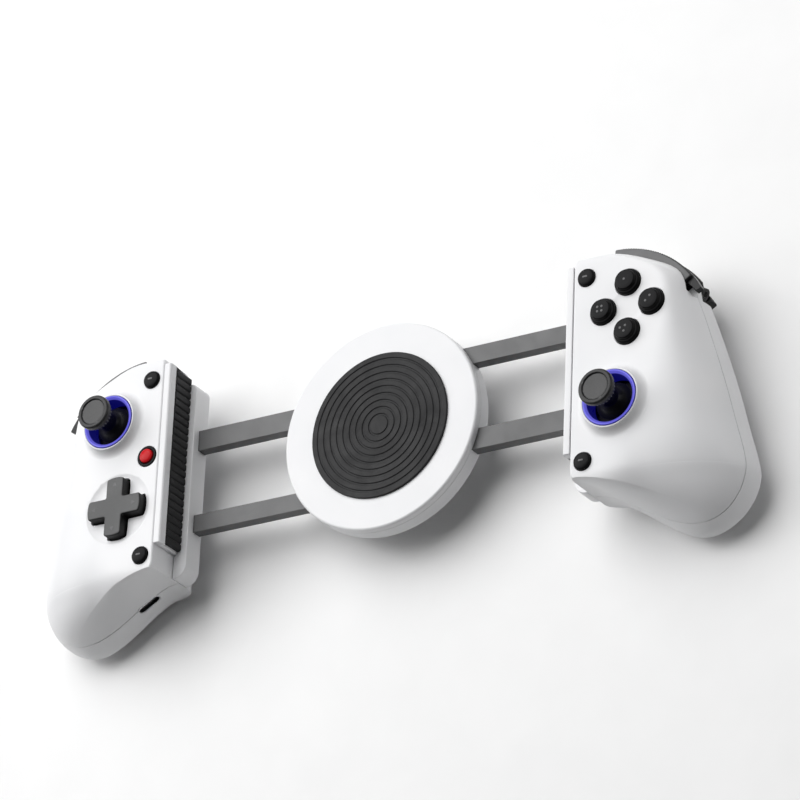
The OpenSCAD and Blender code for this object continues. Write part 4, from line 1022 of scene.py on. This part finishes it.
# %% Directional pad
PAD_TOP = FACE_Z + 2.5
PAD_LOW = box_mm("dpad")[0].z
PAD_FLANGE_R = 11.0
PAD_ROCK = math.radians(3.5 * math.sqrt(2))
PAD_FLANGE_TOP = INNER_Z - 0.45 - PAD_FLANGE_R * math.sin(PAD_ROCK)
NUB_AT = 6.5


def pad_cross():
    """Cross with rounded top edges, its flange and the nubs that press the domes."""
    bm = prism(shifted(cross_outline(PAD_R, PAD_W, 0.45, 0.9), LOWER), PAD_FLANGE_TOP - 0.3, PAD_TOP)
    rim = [e for e in bm.edges if all(v.co.z > PAD_TOP - 0.01 for v in e.verts)]
    bmesh.ops.bevel(bm, geom=rim, offset=0.55, affect="EDGES", segments=4, profile=0.5, material=-1)
    low, high = PAD_FLANGE_TOP - 1.0, PAD_FLANGE_TOP
    corners = [(0, low, 0), (PAD_FLANGE_R, low, 0.2), (PAD_FLANGE_R, high, 0.2), (0, high, 0)]
    flange = turned(rounded(corners), LOWER, 72)
    nubs = []
    for x, y in ((NUB_AT, 0), (-NUB_AT, 0), (0, NUB_AT), (0, -NUB_AT)):
        nub = rounded([(0, PAD_LOW, 0), (1.5, PAD_LOW, 0.3), (1.5, low + 0.4, 0), (0, low + 0.4, 0)])
        nubs.append(turned(nub, (LOWER[0] + x, LOWER[1] + y), 24))
    return gathered([bm, cut(join(flange, *nubs), rod(1.75, 0, low + 0.9, LOWER))])


def pad_marks():
    """Four small triangles that point outwards."""
    marks = []
    outline = rounded([(8.6, 0, 0.15), (7.1, 0.8, 0.15), (7.1, -0.8, 0.15)], closed=True)
    for k in range(4):
        mark = prism(outline, -0.05, 0.04)
        turn = turned_by(90 * k)
        marks.append(placed(mark, Matrix.Translation((*LOWER, PAD_TOP)) @ turn))
    return gathered(marks)


piece("directional_pad", pad_cross(), PAD_GREY, "dpad", ["dpad"], left=True)
piece("directional_pad_marks", pad_marks(), MARK, "dpad", (), left=True)

# %% [markdown]
# The face buttons are polished two-step domes: a wide lower step and a raised disc that the thumb finds. Plain
# raised dots, one to four of them, tell the buttons apart by feel. The small buttons are low domes with one
# short bar, and the red one sits in a black ring.

# %% Buttons


def face_button(at):
    """Two-step button with its flange and foot."""
    flange_top = INNER_Z - 0.3
    low, step, top = flange_top - 1.2, FACE_Z + 1.2, FACE_Z + 2.7
    foot = BOARD_TOP + 3.1
    lower = [(0, foot, 0), (2.0, foot, 0.2), (2.0, low, 0), (5.0, low, 0.15), (5.0, flange_top, 0.15)]
    wall = [(FACE_BUTTON_R, flange_top, 0.1), (FACE_BUTTON_R, step, 0.75), (3.5, step + 0.06, 0.2)]
    crown = [(3.3, top - 0.28, 0.45), (2.2, top - 0.08, 1.5), (0, top - 0.02, 0)]
    return turned(rounded(lower + wall + crown, steps=6), at, 72)


def dots(at, count, z):
    """One small raised dot, or a ring of them."""
    spots = [(0, 0)] if count == 1 else arc((0, 0), (1.05, 1.05), 45, 45 + 360 * (count - 1) / count, count)
    dot = rounded([(0, -0.15, 0), (0.42, -0.15, 0), (0.42, 0.09, 0.08), (0, 0.11, 0)], steps=3)
    places = [Matrix.Translation((at[0] + x, at[1] + y, z)) for x, y in spots]
    return gathered([placed(turned(dot, steps=20), place) for place in places])


for count, name in enumerate(COMPASS, start=1):
    at = face_button_place(name)
    node = f"{name}_button"
    piece(node + "_dome", face_button(at), GLOSS, node, [node])
    piece(node + "_dots", dots(at, count, FACE_Z + 2.6), MARK, node)

FLANGE_R = SMALL_BUTTON_R + 0.8
BAR_RISE = 1.38


def small_button(y, radius=SMALL_BUTTON_R):
    """Low domed button with its flange, cut flat beside the inner wall, and its stem."""
    top = face_at(y)
    under = face_at(y - FLANGE_R) - SHELL_WALL - 0.3
    at = (SMALL_X, y)
    stem = BOARD_TOP + 1.1
    dome = arc((0, top + 0.5), (radius, 0.9), 14, 90, 12)
    stud = [(0, under - 0.6), (2.0, under - 0.6), (2.0, under), (radius, under), (radius, top + 0.55)]
    bm = turned([*stud, *dome], at, 64)
    flange = halved(rod(FLANGE_R, under - 1.2, under, at, 48), (CAVITY_X + 0.1, 0, 0), (1, 0, 0))
    foot = turned(rounded([(0, stem, 0), (1.5, stem, 0.2), (1.5, under - 0.3, 0), (0, under - 0.3, 0)]), at, 32)
    return join(bm, flange, foot)


def bar_mark(at, z):
    """Short raised bar on a small button."""
    return bevelled(prism(shifted(plate_outline(0.85, 0.3, 0.28), at), z - 0.3, z + 0.02), 0.06, 60, 2)


def red_surround():
    """Black ring round the red button."""
    inner, outer, low, top = 2.55, 3.55, FACE_Z - 0.9, FACE_Z + 0.3
    corners = [(inner, low, 0), (outer, low, 0), (outer, top, 0.2), (inner, top, 0.4)]
    return turned(rounded(corners, closed=True), RED_AT, 64, ring=True)


for word, _ in SIDES:
    for key in ("top", "bottom"):
        y, button = SMALL_HEIGHTS[key], f"{key}_button"
        mark = bar_mark((SMALL_X, y), face_at(y) + BAR_RISE)
        side_piece(word, button + "_dome", small_button(y), GLOSS, button, button)
        side_piece(word, button + "_bar", mark, MARK, button)
piece("red_button_dome", small_button(RED_AT[1], 2.4), RED, "red_button", ["red_button"], True)
piece("red_button_surround", red_surround(), GLOSS, "left_handle", ["red_button_bezel"], True)

# %% [markdown]
# The shoulder has two levers on each side. The bumper is a grey crescent that thins towards both ends and turns
# on a pin at the inner one. It has fine ribs on its outer wall and a black block at its outer end. The trigger
# hangs behind it on a steel pin: a black lever that bends round the shoulder, with a hollowed face, a tail past
# the bumper and grooves across it, so that a wet finger does not slip. It is lofted from one end to the other,
# and every groove is four rings.

# %% Bumpers and triggers


def bumper_band():
    """Crescent with rounded edges and the lug of its pin."""
    low, high = 0.5, 6.2
    bm = bevelled(band(bumper_inside, BUMPER_R - 0.2, BUMPER_FROM, BUMPER_TO, low, high), 0.5, 40, 3)
    reach, pin = 30.5, math.radians(84)
    at = (SHOULDER.x + reach * math.cos(pin), SHOULDER.y + reach * math.sin(pin))
    lug = turned(rounded([(0, low, 0), (1.9, low, 0.3), (1.9, high, 0.3), (0, high, 0)]), at, 40)
    return cut(join(bm, lug), rod(PIN_BORE, low - 1, high + 1, at))


def bumper_end():
    """Block at the bumper's outer end."""
    shape = band(lambda angle: bumper_inside(angle) - 0.05, BUMPER_R + 0.1, 26.6, 35.6, 2.6, 4.9)
    return bevelled(shape, 0.4, 40, 3)


def bumper_ribs():
    """Fine upright ribs along the bumper's outer wall."""
    low, high = (BUMPER_R - 0.5, -0.2, 0.8), (BUMPER_R, 0.2, 5.7)
    return ribs_round(SHOULDER, low, high, [36.0 + 1.5 * k for k in range(32)])


TRIGGER_HALF = 21.4
TAIL = 4.0
TRIGGER_R, HOLLOW, LEAN = 35.6, 5.2, 2.2
PITCH = 2.1
GROOVE = ((-0.68, 0.0), (-0.42, 0.3), (0.42, 0.3), (0.68, 0.0))
WIRE = 0.22


def trigger_ring(angle, groove):
    """Outline of the trigger at one angle, drawn in where a groove runs across it."""
    across = Vector((math.cos(math.radians(angle)), math.sin(math.radians(angle)), 0))
    face, back = [], []
    for i in range(23):
        t = i / 22
        r = TRIGGER_R - HOLLOW * t * (1 - t) - LEAN * t * t
        ease = math.sin(math.pi * clamp((t - 0.06) / 0.9, 0, 1)) ** 0.4
        edge = 0.45 * max(0, 1 - min(t, 1 - t) / 0.07) ** 2
        down = Vector((0, 0, -0.8 - 10.8 * t))
        face.append(across * (r - groove * ease - edge) + down)
        back.append(across * (r - 4.2 + 1.8 * t) + down)
    return face + back[::-1]


def trigger_lever():
    """Ribbed lever with its tail, the barrel of its pin and the notch of its spring."""
    first, last = -TRIGGER_HALF - TAIL, TRIGGER_HALF
    count = int((last - first - 1.6) / PITCH)
    start = (first + last - count * PITCH) / 2
    places = [(first, 0.35), (first + 0.3, 0.1), (first + 0.7, 0.0)]
    for k in range(count):
        middle = start + (k + 0.5) * PITCH
        places += [(middle + aside, depth) for aside, depth in GROOVE]
    places += [(last - 0.7, 0.0), (last - 0.3, 0.1), (last, 0.35)]
    bm = lofted([trigger_ring(angle, groove) for angle, groove in places])
    room = placed(block((0, -12, -6.85), (60, 0, 5)), turned_by(-TRIGGER_HALF))

    def barrel(radius, length):
        """Round bar along the pin."""
        return placed(rod(radius, -length / 2, length / 2, steps=40), PIN_PLACE)

    bm = cut(join(cut(bm, room), barrel(1.9, 26)), barrel(PIN_BORE, 60), barrel(2.3, 5.6))
    return placed(bm, AT_SHOULDER)


def coil(radius, wire, turns, length):
    """A wound spring along Z, centred on its middle."""
    bm = bmesh.new()
    made = bmesh.ops.create_circle(bm, cap_ends=True, radius=wire, segments=10)
    placed(bm, Matrix.Translation((radius, 0, -length / 2 + wire)) @ LYING)
    steps = turns * 20
    rise = (length - 2 * wire) / steps
    bmesh.ops.spin(
        bm, geom=bm.faces[:] + made["verts"], cent=(0, 0, 0), axis=(0, 0, 1), dvec=(0, 0, rise),
        angle=2 * math.pi * turns, steps=steps,
    )
    return closed_up(bm)


for word, _ in SIDES:
    side_piece(word, "bumper_band", bumper_band(), BUMPER_GREY, "bumper", "bumper")
    side_piece(word, "bumper_end", bumper_end(), BLACK, "bumper")
    side_piece(word, "bumper_ribs", bumper_ribs(), BLACK, "bumper")
    side_piece(word, "trigger_lever", trigger_lever(), BLACK, "trigger", "trigger")
    spring = placed(coil(1.7, WIRE, 7, 5.0), AT_SHOULDER @ PIN_PLACE)
    side_piece(word, "trigger_coil", spring, STEEL, "handle", "trigger_spring")

# %% [markdown]
# The ends of the bay are lined: a white rail with a lip, a black rubber pad below it that grips, and behind the
# bay a rounded bracket that carries the handle on its arms. The pad has a row of small ribs, as a tyre has,
# because a smooth one would slip. All three are extruded outlines with rounded edges.

# %% Rails, end pads and brackets
RAIL_TOP, RAIL_BOTTOM = 33.0, -30.5
RAIL_LOW = -0.4
LIP_LOW = FACE_Z - 3.4
BRACKET_TOP, BRACKET_BOTTOM, BRACKET_LOW = 30, -38.5, -8.3
PAD_X = box_mm("right_end_pad")[0].x
RAIL_OUT = box_mm("right_rail")[1].x
UPRIGHT = Matrix(((1, 0, 0, 0), (0, 0, -1, 0), (0, 1, 0, 0), (0, 0, 0, 1)))


def rail_strip():
    """Angle strip with a rounded lip."""
    web, lip = PAD_X + 1.5, PAD_X + 0.3
    corners = [(web, RAIL_LOW, 0.2), (RAIL_OUT, RAIL_LOW, 0.2), (RAIL_OUT, FACE_Z, 0.25)]
    corners += [(lip, FACE_Z, 0.8), (lip, LIP_LOW, 0.3), (web, LIP_LOW, 0.1)]
    bm = prism(rounded(corners, closed=True), -RAIL_TOP, -RAIL_BOTTOM)
    ends = [e for e in bm.edges if abs(e.verts[0].co.z - e.verts[1].co.z) < 0.01]
    bmesh.ops.bevel(bm, geom=ends, offset=0.3, affect="EDGES", segments=3, profile=0.5, material=-1)
    return placed(bm, UPRIGHT)


def end_pad():
    """Rubber pad with upright ribs on the side that grips."""
    low, high = RAIL_BOTTOM + 1, RAIL_TOP - 1
    outline = [(PAD_X + 1.5, low), (PAD_X + 1.5, high)]
    count = 24
    pitch = (high - low) / count
    for k in reversed(range(count)):
        start = low + k * pitch
        for share, depth in ((0.98, 0.5), (0.86, 0.12), (0.74, 0.0), (0.26, 0.0), (0.14, 0.12), (0.02, 0.5)):
            outline.append((PAD_X + depth, start + share * pitch))
    return bevelled(prism(outline, RAIL_LOW, LIP_LOW - 0.1), 0.12, 50, 2)


def bracket_block(left):
    """Bracket with a round inner side and the passages of the bars."""
    inner = WALL_X - 5.0
    corners = [(RAIL_OUT, BRACKET_BOTTOM, 0.3), (RAIL_OUT, BRACKET_TOP, 0.3)]
    corners += [(inner, BRACKET_TOP, 2.4), (inner, BRACKET_BOTTOM, 4.3)]
    outline = rounded(corners, closed=True, steps=10)
    bm = bevelled(prism(outline, BRACKET_LOW, RAIL_LOW - 0.1), 0.7, 50, 4)
    return cut(bm, *arm_channels(left)[:2])


for word, left in SIDES:
    side_piece(word, "rail_strip", rail_strip(), WHITE, "handle", "rail")
    side_piece(word, "grip_pad", end_pad(), RUBBER, "handle", "end_pad")
    side_piece(word, "bracket_block", bracket_block(left), WHITE, "handle", "bracket")

# %% [markdown]
# The round bridge is a dish with a plate on it. The arms run through slots in its wall, the racks meet the
# pinion in the middle, and two springs pull them in. The dish is turned, and posts and ribs are joined to it.
# The rubber bed is turned too, with round grooves that give it grip.

# %% Bridge
HUB_R = 35.6
BED_R = 25
HUB_LOW = -10.0
PLATE_LOW, PLATE_TOP = -3.2, -0.8
HUB_IN = HUB_R - 2.2
HUB_FLOOR = ARM_LOW - 0.3
HUB_SCREWS = ((0, HUB_IN - 3.9), (0, 3.9 - HUB_IN), (HUB_IN - 6.4, 0), (6.4 - HUB_IN, 0))
PEG_Y = 24.6
ANCHOR_X = -math.sqrt((HUB_IN - 0.3) ** 2 - (PEG_Y + 1.5) ** 2)
HALF_TURNS = (Matrix.Identity(4), Matrix.Rotation(math.pi, 4, "Z"))


def bridge_dish():
    """Back of the bridge with a grooved round panel, posts, ribs and slots for the bars."""
    sunk = HUB_LOW + 0.45
    groove = rounded([(21, HUB_LOW, 0.3), (21.3, sunk, 0.2), (21.9, sunk, 0.2), (22.2, HUB_LOW, 0.3)])
    outside = [(HUB_R, HUB_LOW, 3.0), (HUB_R, PLATE_LOW, 0.25)]
    inside = [(HUB_IN, PLATE_LOW, 0.1), (HUB_IN, HUB_FLOOR, 0.6), (0, HUB_FLOOR, 0)]
    rim = rounded([(*groove[-1], 0), *outside, *inside], steps=9)
    bm = turned([(0, HUB_LOW), *groove, *rim[1:]], steps=128)
    shapes = [rod(2.5, HUB_LOW + 1, PLATE_LOW, at) for at in HUB_SCREWS]
    for y in (-15, 15):
        shapes.append(block((-26, y - 0.6, HUB_FLOOR - 0.2), (26, y + 0.6, HUB_FLOOR + 2.4)))
    holes = [screw_hole(at, HUB_LOW - 1, HUB_LOW + 1.5, 0) for at in HUB_SCREWS]
    for turn in HALF_TURNS:
        peg = rod(0.9, HUB_FLOOR - 0.2, HUB_FLOOR + 3.8, steps=24)
        shapes.append(placed(peg, turn @ Matrix.Translation((ANCHOR_X, PEG_Y, 0))))
        holes += [placed(bar_room(11, 40, *bar), turn) for bar in BARS]
    return cut(join(bm, *shapes), *holes)


def bridge_plate():
    """Front plate with a rounded rim, on which the bed lies."""
    corners = [(0, PLATE_LOW, 0), (HUB_R, PLATE_LOW, 0.2), (HUB_R, PLATE_TOP, 0.9), (0, PLATE_TOP, 0)]
    return turned(rounded(corners, steps=7), steps=128)


def rubber_bed():
    """Round rubber bed with concentric grooves."""
    outline = rounded([(0, PLATE_TOP, 0), (BED_R, PLATE_TOP, 0.1), (BED_R, 0, 0.3), (BED_R - 1, 0, 0)])
    for k in range(9):
        r = 23.2 - 2.4 * k
        outline += [(r, 0), (r - 0.25, -0.28), (r - 0.65, -0.28), (r - 0.9, 0)]
    return turned(outline + [(0, 0)], steps=112)


def screw(at, seat, tip):
    """Pan-head screw with a cross recess, head below its seat."""
    head = seat - 1.4
    shank = [(SCREW_R, seat, 0), (SCREW_R, tip - 0.8, 0), (0, tip, 0)]
    bm = turned(rounded([(0, head, 0), (SCREW_HEAD_R, head, 0.5), (SCREW_HEAD_R, seat, 0.1), *shank]), at, 36)
    for half in ((0.95, 0.22), (0.22, 0.95)):
        low = (at[0] - half[0], at[1] - half[1], head - 0.5)
        bm = cut(bm, block(low, (at[0] + half[0], at[1] + half[1], head + 0.75)))
    return bm


def return_coils():
    """Two springs, each between a peg of the dish and a peg of an arm."""
    start, end = ANCHOR_X + 1.1, 5.9
    coils = []
    for turn in HALF_TURNS:
        middle = Matrix.Translation(((start + end) / 2, PEG_Y, (ARM_LOW + ARM_TOP) / 2))
        lengthwise = Matrix.Rotation(math.radians(90), 4, "Y")
        coils.append(placed(coil(1.26, WIRE, 30, end - start), turn @ middle @ lengthwise))
    return gathered(coils)


piece("bridge_dish", bridge_dish(), WHITE, "bridge", ["bridge_back"])
piece("bridge_plate", bridge_plate(), WHITE, "bridge", ["bridge_front"])
piece("rubber_bed", rubber_bed(), RUBBER, "bridge", ["bed_pad"])
bridge_set = gathered([screw(at, HUB_LOW + 1.4, -1.4) for at in HUB_SCREWS])
piece("bridge_screw_set", bridge_set, STEEL, "bridge", ["bridge_screws"])
piece("return_coils", return_coils(), STEEL, "bridge", ["return_springs"])
for word, _ in SIDES:
    handle_set = gathered([screw((WALL_X + x, y), seat, parting_at(y) + 5) for x, y, _, _, seat in SCREWS])
    side_piece(word, "screw_set", handle_set, STEEL, "handle", "screws")

# %% [markdown]
# Pieces whose solids already have the right form only need softer edges. A copy of the solid is merged, its flat
# faces are joined again, and a narrow bevel rounds it, so that the form stays exactly where the frame has it.

# %% Softened solids


def softened(node, width):
    """Copy of a node's solid in millimetres with rounded edges."""
    bm = bmesh.new()
    bm.from_mesh(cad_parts[node].data)
    bmesh.ops.scale(bm, vec=(1 / MM,) * 3, verts=bm.verts)
    bmesh.ops.remove_doubles(bm, verts=bm.verts, dist=0.002)
    bmesh.ops.dissolve_limit(bm, angle_limit=math.radians(1), verts=bm.verts, edges=bm.edges)
    return bevelled(bm, width, 50, 2)


for word, _ in SIDES:
    arm = f"{word}_arm"
    piece(arm + "_bars", softened(arm, 0.15), GREY, f"{word}_handle", [arm])
piece("socket_shell", softened("charging_socket", 0.06), STEEL, "left_handle", ["charging_socket"])
tongue = placed(block((-2.9, -0.35, -4.2), (2.9, 0.35, -0.6)), SOCKET_PLACE @ LYING)
piece("socket_tongue", bevelled(tongue, 0.12), BLACK, "left_handle", (), True)

# %% [markdown]
# The hidden pieces keep their solids and take a finish by what they are made of: nylon runs well on steel, the
# boards are green lacquer, the membranes are silicone.

# %% Finishes of the hidden pieces
HIDDEN = {
    "pinion": NYLON,
    "pinion_post": STEEL,
    "battery": WRAP,
    "dpad_pivot": NYLON,
    "dpad_membrane": SILICONE,
    "button_membrane": SILICONE,
}
EACH_SIDE = {"board": BOARD, "stick_base": BLACK, "yoke": STEEL, "pivot": NYLON, "trigger_pin": STEEL}
HIDDEN |= {f"{word}_{node}": finish for word, _ in SIDES for node, finish in EACH_SIDE.items()}
for node, finish in HIDDEN.items():
    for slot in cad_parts[node].material_slots:
        slot.material = finish
print("hidden pieces with a finish:", len(HIDDEN))

# %% [markdown]
# The picture's light is a large soft box above the upper left corner, two weaker ones at the sides and a dim
# white room. The white face is then the brightest surface, and the grips fall off to a soft grey towards their
# lower ends. The strengths were solved from one small render per light, and then set by eye. The floor is pale
# and lies just below the object's lowest point.

# %% Floor, light and room
FLOOR_GAP = 0.5 * MM
BOX_DISTANCE = 1.4
low_z = min(v[2] for v in cad_bounds)
floor_mesh = bpy.data.meshes.new("floor")
floor_bm = bmesh.new()
bmesh.ops.create_grid(floor_bm, x_segments=2, y_segments=2, size=4.0)
bmesh.ops.translate(floor_bm, vec=(0, 0, low_z - FLOOR_GAP), verts=floor_bm.verts)
floor_bm.to_mesh(floor_mesh)
floor_bm.free()
floor = bpy.data.objects.new("floor", floor_mesh)
scene.collection.objects.link(floor)
PAPER = moulded("floor_paper", (0.88, 0.88, 0.88), (0.9, 0.9, 0.9), (0.6, 0.7), 300.0, 0.02)
floor_mesh.materials.append(PAPER)


def soft_box(name, toward, size, power):
    """Square area light that looks at the middle of the object."""
    data = bpy.data.lights.new(name, "AREA")
    data.size = size
    data.energy = power
    light = bpy.data.objects.new(name, data)
    place = Vector(toward).normalized() * BOX_DISTANCE
    light.matrix_world = Matrix.Translation(place) @ (-place).to_track_quat("-Z", "Y").to_matrix().to_4x4()
    scene.collection.objects.link(light)


soft_box("upper_box", (-0.3, 0.45, 0.84), 1.7, 28.5)
soft_box("right_box", (0.92, 0.28, 0.28), 0.9, 3.0)
soft_box("left_box", (-0.85, 0.1, 0.5), 0.9, 6.4)
world = bpy.data.worlds.new("white_room")
world.use_nodes = True
background = world.node_tree.nodes["Background"]
background.inputs["Color"].default_value = (1.0, 1.0, 1.0, 1.0)
background.inputs["Strength"].default_value = 0.05
scene.world = world
scene.view_settings.view_transform = "Standard"
print("floor at", round(low_z / MM, 2), "mm")

# %% [markdown]
# The drawn pieces must stay inside the box of the imported model, which is printed here.

# %% Sizes
print("model box in mm:", [[round(v / MM, 2) for v in c] for c in cad_bounds])
